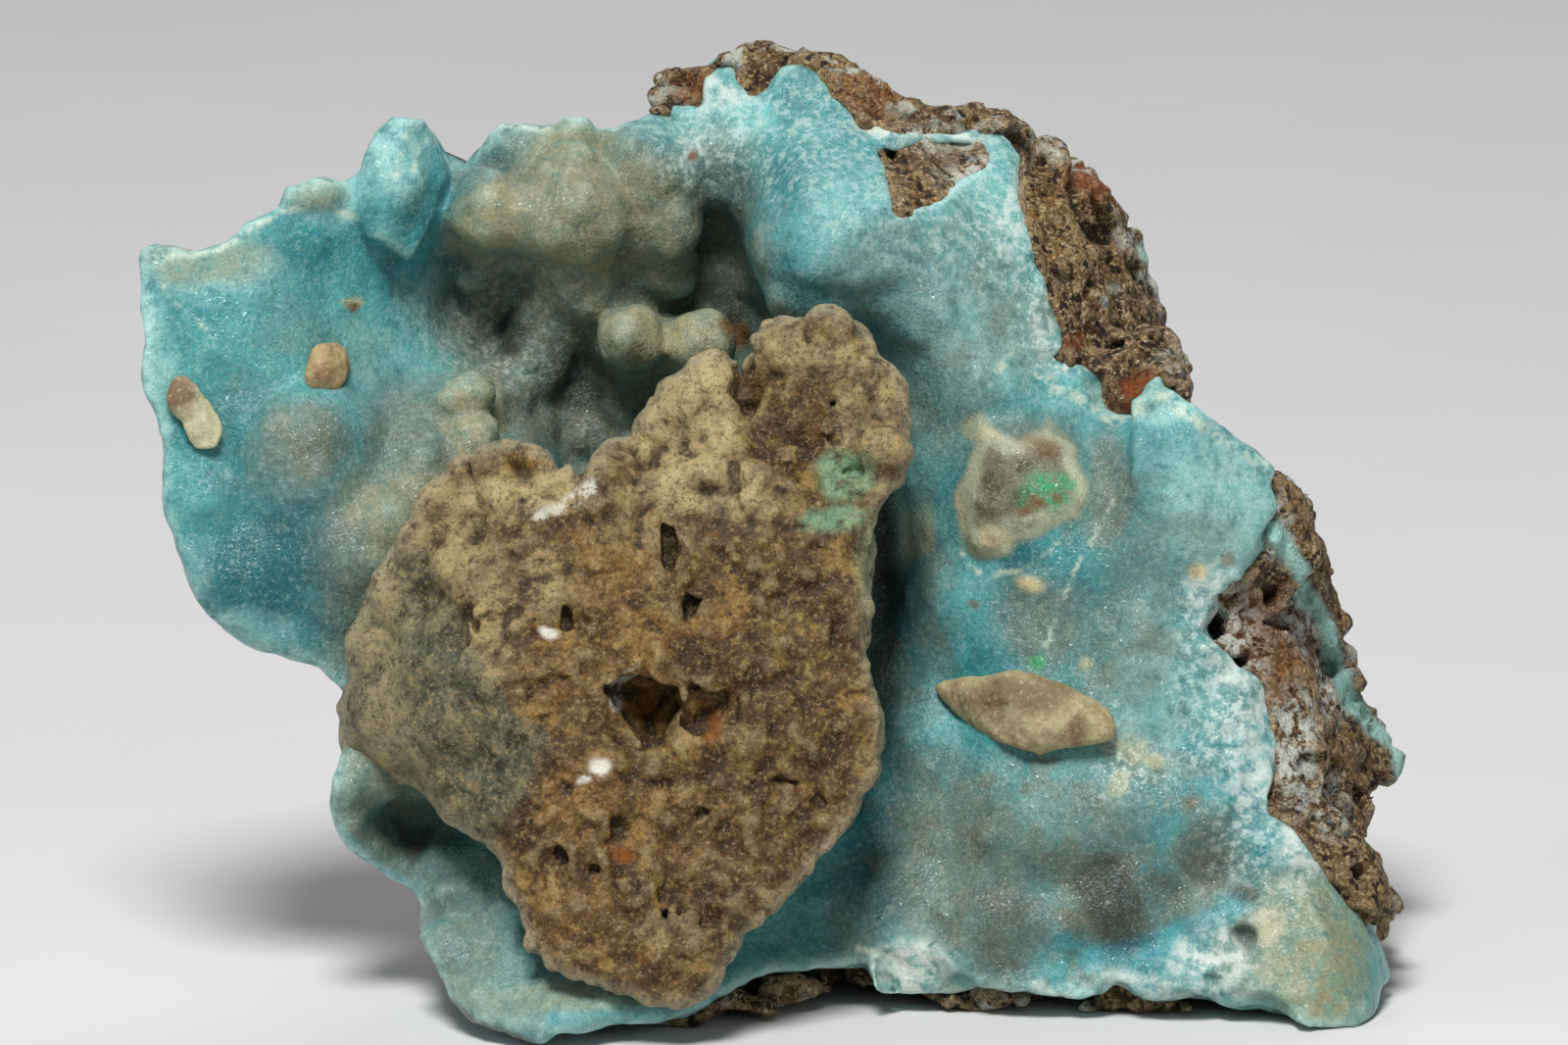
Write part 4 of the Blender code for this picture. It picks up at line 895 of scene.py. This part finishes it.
# Smooth lobes on the left
BLOCK_LOBES = [
    (-39, 34.5, 5.6, 1.2), (-33.5, 33, 5.2, 1), (-37.5, 45.5, 4.2, 1), (-31, 27.5, 4.8, 0.9),
    (-27.5, 24, 4, 0.8), (-40.5, 40.5, 3.4, 0.8), (-34.5, 38.5, 3.6, 0.8), (-31.5, 48.5, 3, 0.6),
    (-41.5, 30, 3, 0.8),
]
BLOCK_GROWN = [(-38, 34, 9, 24, 1), (-20, 62, 26, 7, 0.9), (8, 62, 5, 12, 0.8), (2, 71, 12, 5, 0.8)]
BLOCK_MARKS = {
    "ochre": [
        (-13.6, 35, 3.4, 3.2, 1), (-7, 34, 2.2, 2.6, 0.8), (-20, 25, 5, 5, 0.55),
        (-22, 13, 6, 5, 0.35), (-18, 48, 6, 4, 0.5), (-22, 40, 4, 5, 0.3), (-10, 22, 8, 5, 0.25),
        (-6, 43, 5, 3, 0.3), (-14, 41, 5, 2.5, 0.4),
    ],
    "rust": [(-15.4, 19, 1.2, 1.1, 1), (-14, 34, 1.5, 1.5, 0.6), (-6.5, 33, 1, 1.4, 0.7)],
    # dark: painted shade in pits, in hollows between the knobs and over the druse at the left, with
    # darker brown patches
    "dark": [
        (-31, 37, 4, 7, 0.45), (-20, 55, 3, 1.4, 0.5), (-5.5, 60, 1.6, 2.4, 0.6),
        (-1.5, 62, 2, 3, 0.5), (-30.5, 52, 3.2, 2.8, 1), (-9, 15, 7, 5, 0.5),
        (4, 62, 3.5, 8, 0.35), (-3, 30, 7, 5, 0.3), (-28, 46, 4, 4, 0.4), (2, 50, 4, 5, 0.3),
        (-14.5, 46, 7, 2, 0.4), (-18, 32, 3, 3, 0.4),
    ],
    "white": [(-17.8, 28.3, 0.9, 0.5, 1), (-19.5, 27.3, 0.7, 0.4, 1), (-23, 42.5, 0.7, 0.5, 1)],
    "green": [(7, 58, 2.8, 2.4, 0.75), (5.5, 53.5, 3, 1.6, 0.75), (9, 49, 1.6, 4, 0.25)],
    # cream: the block's pale rim, and at (-39.7, 30) a painted highlight on the lit lobe of the
    # druse
    "cream": [
        (-39.7, 30, 4, 5, 0.4), (-7.7, 64.2, 3.6, 5, 0.8), (-40, 42, 3, 8, 0.35),
        (-4, 55, 5, 3, 0.5), (9.5, 68, 2.4, 5, 0.5), (-11, 62, 4, 5, 0.6), (-7, 56.5, 7, 3, 0.8),
        (-26, 56, 9, 2.6, 0.7), (-34, 52, 3, 3.5, 0.5), (-31, 47, 3, 5, 0.4),
        (-29, 42, 3, 5, 0.35), (3, 70, 6, 2.4, 0.5), (9, 64, 3, 5, 0.45), (-14, 52, 5, 2, 0.3),
        (-24, 47, 4, 3, 0.4),
    ],
    "mauve": [
        (-3, 24, 7, 8, 0.6), (-11, 42, 3, 4, 0.6), (0, 40, 7, 7, 0.5), (-15, 29, 4, 5, 0.6),
        (-7, 52, 5, 3, 0.4), (-8, 15, 6, 6, 0.4), (4, 50, 4, 5, 0.4), (-26, 38, 3, 4, 0.4),
    ],
}
BLOCK_LINES = {
    "streak": [
        (0.9, [(-24, 53.5), (-21.5, 54.5), (-19, 56.5)]),
        (0.5, [(-14.5, 38.3), (-17, 36.5), (-16.5, 34)]),
    ],
}


def block():
    body = Body("front_block", voxel=0.32, soften=0.40, seed=41)
    druse = body.per_column(left_of(body.columns(), BLOCK_DRUSE_EDGE)).astype(np.float32)
    shell = np.maximum(druse, body.rim(1.8))
    body.phi -= 0.25 + body.fractal((6.0, 0.35))
    body.knobs(BLOCK_LOBES, seam=0.5, lumps=3)
    body.knobs(BLOCK_PETALS, seam=0.3, lumps=6)
    body.phi -= body.rim(2.4) * body.fractal((3.0, 0.4), (1.5, 0.25))
    rough = 1 - 0.85 * druse - 0.3 * body.rim(1.8) * (1 - druse)
    body.phi -= rough * (0.6 * np.abs(body.noise(2.4)) + 0.6 * np.abs(body.noise(1.1)) - 0.42)
    body.beads(160, BLOCK_GROWN, (0.8, 2.0), rise=0.15, seed=42, facing=-0.4)
    ragged = body.fractal((1.6, 0.25), (0.9, 0.2)) - 0.15
    for depth, outline in BLOCK_CAVITIES:
        body.cavity(outline, depth, ragged)
    body.pits(BLOCK_PITS, blend=0.15)
    hollow = body.fractal((1.7, 1.0), (0.8, 0.5), (7.0, 0.6))
    body.phi += (1 - 0.9 * shell) * 0.8 * smoothstep(0.95, 1.4, hollow).astype(np.float32)
    body.phi -= rough * body.fractal((0.9, 0.16), (0.65, 0.10))
    body.stand()
    piece = body.piece("block", body.behind)
    points, front = body.paint(piece, BLOCK_MARKS, BLOCK_LINES, body.rim(1.2))
    on_left = left_of(body.warped(points), BLOCK_DRUSE_EDGE)
    set_attribute(piece, "druse", np.maximum(on_left, 1 - front))
    return piece


def fragment(node, name, seed, tint, chip=0.9, grow=0.3):
    body = Body(node, voxel=0.2, soften=0.35, seed=seed)
    body.phi -= grow + body.fractal((3.4, 0.35), (1.6, 0.2))
    body.chipped(16, chip)
    body.phi = blurred(body.phi, 0.8)
    body.phi -= 0.16 * np.abs(body.noise(1.3)) + body.fractal((0.7, 0.08)) - 0.08
    piece = body.piece(name)
    body.paint(piece, {"tint": tint}, {})
    return piece


# Materials

def srgb(red, green, blue):
    """Linear colour of an 8-bit display colour."""
    parts = [value / 255.0 for value in (red, green, blue)]
    return tuple(p / 12.92 if p <= 0.04045 else ((p + 0.055) / 1.055) ** 2.4
                 for p in parts) + (1.0,)


class Finish:
    """Builds one procedural material from the masks on the mesh and fine noise."""

    def __init__(self, name, **noises):
        self.material = bpy.data.materials.new(name)
        self.material.use_nodes = True
        self.tree = self.material.node_tree
        self.tree.nodes.clear()
        self.shader = self.node("BsdfPrincipled", {})
        self.node("OutputMaterial", {"Surface": self.shader.outputs[0]})
        self.place = self.node("TexCoord", {}).outputs["Object"]
        self.fields = {key: self.noise(*values) for key, values in noises.items()}

    def node(self, kind, inputs, **settings):
        """A new node; each input is linked to a socket or set to a value."""
        node = self.tree.nodes.new("ShaderNode" + kind)
        for name, value in settings.items():
            setattr(node, name, value)
        for name, value in inputs.items():
            self.put(node.inputs[name], value)
        return node

    def put(self, socket, value):
        if isinstance(value, bpy.types.NodeSocket):
            self.tree.links.new(value, socket)
        else:
            socket.default_value = value

    def mask(self, name):
        return self.node("Attribute", {}, attribute_name=name).outputs["Fac"]

    def noise(self, size, detail, roughness=0.55, distortion=0.0):
        """Cloudy noise whose features are about size mm wide."""
        return self.node("TexNoise", {
            "Vector": self.place, "Scale": 1.0 / (size * MM), "Detail": detail,
            "Roughness": roughness, "Distortion": distortion}).outputs["Fac"]

    def cells(self, size, output="Distance"):
        return self.node("TexVoronoi", {"Vector": self.place,
                                        "Scale": 1.0 / (size * MM)}).outputs[output]

    def remap(self, value, low, high, to_low=0.0, to_high=1.0):
        return self.node("MapRange", dict(enumerate((value, low, high, to_low, to_high))),
                         interpolation_type="SMOOTHSTEP").outputs[0]

    def layers(self, base, table):
        """Tints laid over a base colour. Each row says what drives the tint, its low and high
        end, the tint's share at both ends (0 and 1 if left out), and the tint. A drive like
        mask*field is a mask made patchy by a field; one without ends is used as it is.
        """
        colour = srgb(*base)
        for drive, *ramp, tint in table:
            mask, _, field = drive.rpartition("*")
            share = self.fields[field] if field in self.fields else self.mask(field)
            if ramp:
                share = self.remap(share, *ramp)
            if mask:
                share = self.node("Math", {0: self.mask(mask), 1: share},
                                  operation="MULTIPLY").outputs[0]
            over = srgb(*tint) if isinstance(tint, tuple) else tint
            colour = self.node("Mix", {"Factor": share, 6: colour, 7: over},
                               data_type="RGBA").outputs[2]
        return colour

    def bump(self, height, distance, **below):
        return self.node("Bump", {"Height": height, "Distance": distance * MM,
                                  **below}).outputs["Normal"]

    def facets(self, size, tilt, normal):
        """Tilts the normal at random from crystal to crystal, which makes a druse sparkle."""
        centred = self.node("VectorMath", {0: self.cells(size, "Color"), 1: (0.5, 0.5, 0.5)},
                            operation="SUBTRACT").outputs[0]
        spread = self.node("VectorMath", {0: centred, 1: (tilt, tilt, tilt), 2: normal},
                           operation="MULTIPLY_ADD").outputs[0]
        return self.node("VectorMath", {0: spread}, operation="NORMALIZE").outputs[0]

    def glints(self, size, roughness, smooth=0.12):
        """Roughness of a druse: an even sheen with a few mirror-like crystal faces."""
        tone = self.node("SeparateColor", {0: self.cells(size, "Color")}).outputs[2]
        return self.remap(tone, 0.90, 0.94, roughness, smooth)

    def set(self, **values):
        for name, value in values.items():
            self.put(self.shader.inputs[name.replace("_", " ")], value)
        return self.material

    def druse(self, colour, grain, cell, crystal, roughness, **values):
        """Grain and cells as (size..., depth) bumps, then crystal faces of (size, tilt)."""
        *noise, depth = grain
        normal = self.bump(self.noise(*noise), depth)
        normal = self.bump(self.cells(cell[0]), cell[1], Normal=normal)
        return self.set(Base_Color=colour, Roughness=self.glints(crystal[0], roughness),
                        IOR=1.5, Normal=self.facets(*crystal, normal), **values)


def crust_material():
    f = Finish("hemimorphite_druse", cloud=(9.0, 3), blotch=(4.2, 4), mottle=(1.8, 5, 0.62),
               speck=(0.6, 3, 0.6), sand=(0.24, 2, 0.6), snow=(0.9, 4, 0.7))
    inside = f.layers((84, 82, 60), [("mottle", 0.35, 0.6, (120, 118, 94))])
    colour = f.layers((44, 126, 134), [
        ("cloud", 0.3, 0.7, (84, 160, 158)),
        # painted shade: deep teal where the deep patches lie
        ("deep*mottle", 0.25, 0.6, 0.6, 1, (26, 92, 98)),
        # pale crust, with a painted highlight on the slab
        ("pale*mottle", 0.3, 0.6, 0.4, 0.95, (150, 200, 194)),
        ("blotched*blotch", 0.46, 0.64, 0, 0.7, (96, 106, 88)),
        ("blotched*blotch", 0.44, 0.34, 0, 0.5, (74, 140, 138)),
        ("grey*mottle", 0.3, 0.62, 0.75, 1, (108, 110, 94)),
        ("olive*mottle", 0.35, 0.6, 0.5, 0.95, (154, 146, 106)),
        ("bright*mottle", 0.2, 0.6, 0.3, 0.8, (62, 150, 160)),
        # painted shade: darker in broad hollows
        ("hollow_shade", 0.5, 0.1, 0, 0.55, (34, 54, 50)),
        ("ridge_and_crease_shade", 0.6, 1, 0, 0.25, (170, 190, 172)),
        ("mottle", 0.55, 0.72, 0, 0.22, (160, 180, 162)),
        ("mottle", 0.45, 0.3, 0, 0.3, (48, 78, 72)),
        ("speck", 0.54, 0.64, 0, 0.18, (176, 196, 180)),
        ("speck", 0.46, 0.38, 0, 0.2, (36, 66, 62)),
        ("frost*snow", 0.48, 0.6, 0, 0.85, (196, 214, 206)),
        ("edge*mottle", 0.35, 0.6, 0, 0.65, (172, 208, 200)),
        ("white*mottle", 0.4, 0.58, 0.15, 1, (200, 210, 202)),
        ("nodule", inside),
        ("ring*mottle", 0.25, 0.55, 0.55, 0.95, (168, 172, 144)),
        ("cream*mottle", 0.3, 0.5, 0.6, 1, (190, 180, 140)),
        ("streak*mottle", 0.4, 0.6, 0, 0.75, (196, 206, 186)),
        ("green*speck", 0.38, 0.55, 0.2, 1, (56, 146, 98)),
        ("rust*speck", 0.3, 0.5, 0.5, 1, (112, 80, 44)),
        # painted shade, with some dark blotches: near-black where the dark patches lie
        ("dark*mottle", 0.3, 0.6, 0.8, 1, (24, 32, 26)),
        ("earth", (76, 54, 36)),
        ("sand", 0.57, 0.72, 0, 0.2, (206, 220, 210)),
        ("sand", 0.44, 0.34, 0, 0.16, (38, 60, 56)),
    ])
    return f.druse(colour, (0.7, 3, 0.65, 0.14), (0.26, 0.05), (0.24, 0.30), 0.45,
                   Specular_IOR_Level=0.35, Subsurface_Weight=0.35,
                   Subsurface_Radius=(0.8, 1.3, 1.4), Subsurface_Scale=1.8 * MM)


def matrix_material():
    f = Finish("limonite", cloud=(7.0, 4), mottle=(1.6, 6, 0.72), speck=(0.5, 4, 0.7),
               stain=(3.4, 4, 0.6), pore_shade=(1.1, 3, 0.6))
    colour = f.layers((72, 52, 28), [
        ("cloud", 0.35, 0.65, (98, 72, 36)),
        ("stain", 0.52, 0.64, 0, 0.7, (104, 90, 76)),
        ("stain", 0.44, 0.34, 0, 0.6, (122, 84, 36)),
        ("mottle", 0.52, 0.64, 0, 0.8, (160, 138, 98)),
        ("mottle", 0.48, 0.36, 0, 0.9, (40, 25, 12)),
        ("ochre*mottle", 0.3, 0.6, 0.3, 0.9, (142, 108, 56)),
        # lighter on ridges, then painted shade darkening the creases
        ("ridge_and_crease_shade", 0.58, 0.95, 0, 0.45, (156, 134, 100)),
        ("ridge_and_crease_shade", 0.46, 0.1, 0, 0.85, (40, 26, 14)),
        ("speck", 0.54, 0.62, 0, 0.75, (190, 172, 134)),
        # painted shade: near-black pores too small for the mesh
        ("pore_shade", 0.45, 0.4, 0, 0.95, (24, 14, 8)),
        ("speck", 0.46, 0.38, 0, 0.7, (34, 20, 8)),
        ("rust*mottle", 0.35, 0.5, 0.2, 1, (120, 60, 20)),
        ("white*mottle", 0.44, 0.54, 0, 1, (200, 206, 196)),
        ("edge*stain", 0.52, 0.6, 0, 0.75, (188, 194, 182)),
        ("aqua*speck", 0.3, 0.5, 0.5, 1, (160, 206, 196)),
    ])
    return f.druse(colour, (1.1, 4, 0.75, 0.9), (0.45, 0.12), (0.30, 0.35), 0.62,
                   Specular_IOR_Level=0.3)


def block_material():
    f = Finish("brown_druse_block", cloud=(6.0, 4), mottle=(1.7, 6, 0.72, 0.3),
               patch=(3.8, 4, 0.6), speck=(0.5, 4, 0.7), sand=(0.26, 3, 0.7))
    # druse colours kept dark, partly the druse's own olive grey and partly painted shade of the
    # block's left side
    druse = f.layers((58, 60, 44), [
        ("mottle", 0.38, 0.62, (98, 96, 72)),
        ("cloud", 0.5, 0.65, 0.0, 0.6, (68, 80, 70)),
        ("cloud", 0.46, 0.34, 0.0, 0.5, (118, 112, 80)),
    ])
    colour = f.layers((66, 42, 14), [
        ("cloud", 0.32, 0.68, (100, 70, 28)),
        ("mauve*patch", 0.4, 0.6, 0.4, 1, (80, 58, 32)),
        ("patch", 0.53, 0.62, 0, 0.75, (140, 110, 54)),
        ("patch", 0.47, 0.38, 0, 0.8, (44, 26, 6)),
        ("ochre*mottle", 0.3, 0.6, 0.3, 0.9, (140, 100, 44)),
        # painted shade in pits and hollows, with darker brown patches
        ("dark*mottle", 0.6, 0.35, 0.2, 0.95, (56, 36, 18)),
        ("druse", druse),
        ("edge*mottle", 0.3, 0.52, 0.4, 0.95, (138, 134, 112)),
        ("cream*patch", 0.36, 0.54, 0.3, 1, (190, 174, 128)),
        ("mottle", 0.53, 0.66, 0, 0.6, (148, 126, 78)),
        ("mottle", 0.48, 0.34, 0, 0.8, (38, 22, 6)),
        # lighter on ridges, then painted shade darkening the creases
        ("ridge_and_crease_shade", 0.58, 1, 0, 0.35, (168, 150, 108)),
        ("ridge_and_crease_shade", 0.44, 0.08, 0, 0.85, (38, 24, 10)),
        ("speck", 0.54, 0.64, 0, 0.38, (178, 154, 100)),
        ("speck", 0.46, 0.38, 0, 0.55, (42, 26, 12)),
        ("green*mottle", 0.35, 0.55, 0.2, 0.95, (126, 168, 132)),
        ("white", (222, 218, 202)),
        ("streak*mottle", 0.44, 0.56, 0, 0.9, (196, 192, 176)),
        ("rust*speck", 0.3, 0.5, 0.4, 1, (134, 78, 26)),
        ("sand", 0.56, 0.72, 0, 0.18, (196, 178, 130)),
    ])
    return f.druse(colour, (0.6, 4, 0.7, 0.28), (0.34, 0.06), (0.26, 0.35), 0.5,
                   Specular_IOR_Level=0.3, Subsurface_Weight=0.15,
                   Subsurface_Radius=(1.2, 0.9, 0.6), Subsurface_Scale=1.0 * MM)


def fragment_material(name, light, dark, tint):
    f = Finish(name, mottle=(1.4, 5, 0.7), speck=(0.5, 4, 0.7))
    colour = f.layers(light, [
        ("mottle", 0.35, 0.65, dark),
        ("tint", tint),
        # painted shade: darker in creases
        ("ridge_and_crease_shade", 0.48, 0.2, 0.0, 0.6, (96, 74, 50)),
        ("speck", 0.52, 0.7, 0.0, 0.5, (214, 204, 172)),
    ])
    grain = f.bump(f.noise(0.4, 5, 0.7), 0.14)
    return f.set(Base_Color=colour, Roughness=f.remap(f.fields["speck"], 0.3, 0.7, 0.45, 0.8),
                 IOR=1.5, Normal=f.facets(0.3, 0.3, grain))


def floor_material():
    f = Finish("pale_floor", cloud=(60.0, 3))
    colour = f.layers((205, 205, 204), [("cloud", 0.3, 0.7, (207, 207, 206))])
    return f.set(Base_Color=colour, Roughness=0.85)


# Stage

def look_at(obj, target):
    aim = Vector(target) - obj.location
    obj.rotation_euler = aim.to_track_quat("-Z", "Y").to_euler()


def add_camera():
    target = Vector(to_world(np.array([VIEW_CENTRE]))[0])
    data = bpy.data.cameras.new("camera")
    camera = placed("camera", data)
    camera.location = target - Vector((0.0, LEAN_COS, -LEAN_SIN)) * CAMERA_DISTANCE
    look_at(camera, target)
    data.sensor_width = SENSOR
    data.lens = SENSOR * CAMERA_DISTANCE / VIEW_WIDTH
    data.clip_start = 0.05
    data.clip_end = 20.0
    bpy.context.scene.camera = camera


def add_light(name, place, size, energy, colour=(1.0, 1.0, 1.0)):
    data = bpy.data.lights.new(name, "AREA")
    data.shape = "DISK"
    data.size = size
    data.energy = energy
    data.color = colour
    light = placed(name, data)
    light.location = place
    look_at(light, LIGHT_TARGET)


def add_floor():
    """Pale sheet that runs back and curves up behind."""
    half, front, back, lift, bend, steps = 3.0, -2.5, 1.2, 3.0, 0.8, 16
    profile = [(front, 0.0), (back, 0.0)]
    for step in range(1, steps + 1):
        turn = math.pi / 2 * step / steps
        profile.append((back + bend * math.sin(turn), bend * (1 - math.cos(turn))))
    profile.append((back + bend, lift))
    verts = [(x, y, z) for y, z in profile for x in (-half, half)]
    faces = [(2 * i, 2 * i + 1, 2 * i + 3, 2 * i + 2) for i in range(len(profile) - 1)]
    mesh = bpy.data.meshes.new("floor")
    mesh.from_pydata(verts, [], faces)
    floor = placed("floor", mesh)
    mesh.shade_smooth()
    mesh.materials.append(floor_material())


def dress(piece, node, material):
    piece.data.materials.clear()
    piece.data.materials.append(material)
    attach(piece, "root")
    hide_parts(node)


add_camera()
add_floor()
add_light("key", (-0.12, -0.58, 1.0), 0.40, 15.0)
add_light("side", (-1.1, -0.25, 0.45), 0.5, 2.0, (0.9, 0.95, 1.0))
add_light("fill", (0.9, -1.0, 0.35), 0.9, 1.8)
add_light("back", (0.1, 0.7, 0.9), 0.6, 3.0)
world = bpy.data.worlds.new("studio")
world.use_nodes = True
world.node_tree.nodes["Background"].inputs["Color"].default_value = (0.75, 0.78, 0.82, 1.0)
world.node_tree.nodes["Background"].inputs["Strength"].default_value = 0.14
bpy.context.scene.world = world
bpy.context.scene.view_settings.view_transform = "Standard"

crust_piece, crust_body = crust()
dress(crust_piece, "hemimorphite_crust", crust_material())
dress(matrix(crust_body), "limonite_matrix", matrix_material())
dress(block(), "front_block", block_material())
dress(fragment("cream_chip", "cream_fragment_left", 51, [(-61.5, 66, 2.2, 2.4, 1)]),
      "cream_chip",
      fragment_material("cream_fragment", (196, 194, 158), (172, 166, 128), (122, 98, 68)))
dress(fragment("tan_chip", "tan_fragment", 52, [(-46.3, 68.6, 1.2, 0.9, 0.8)], 0.45, 0.6),
      "tan_chip",
      fragment_material("tan_fragment", (178, 156, 110), (150, 126, 86), (128, 96, 60)))
dress(fragment("cream_splinter", "splinter", 53,
               [(24, 35.6, 6, 1.6, 0.9), (29.8, 31.6, 1, 1.6, 0.9)]),
      "cream_splinter",
      fragment_material("splinter_fragment", (176, 164, 122), (146, 130, 92), (116, 92, 62)))
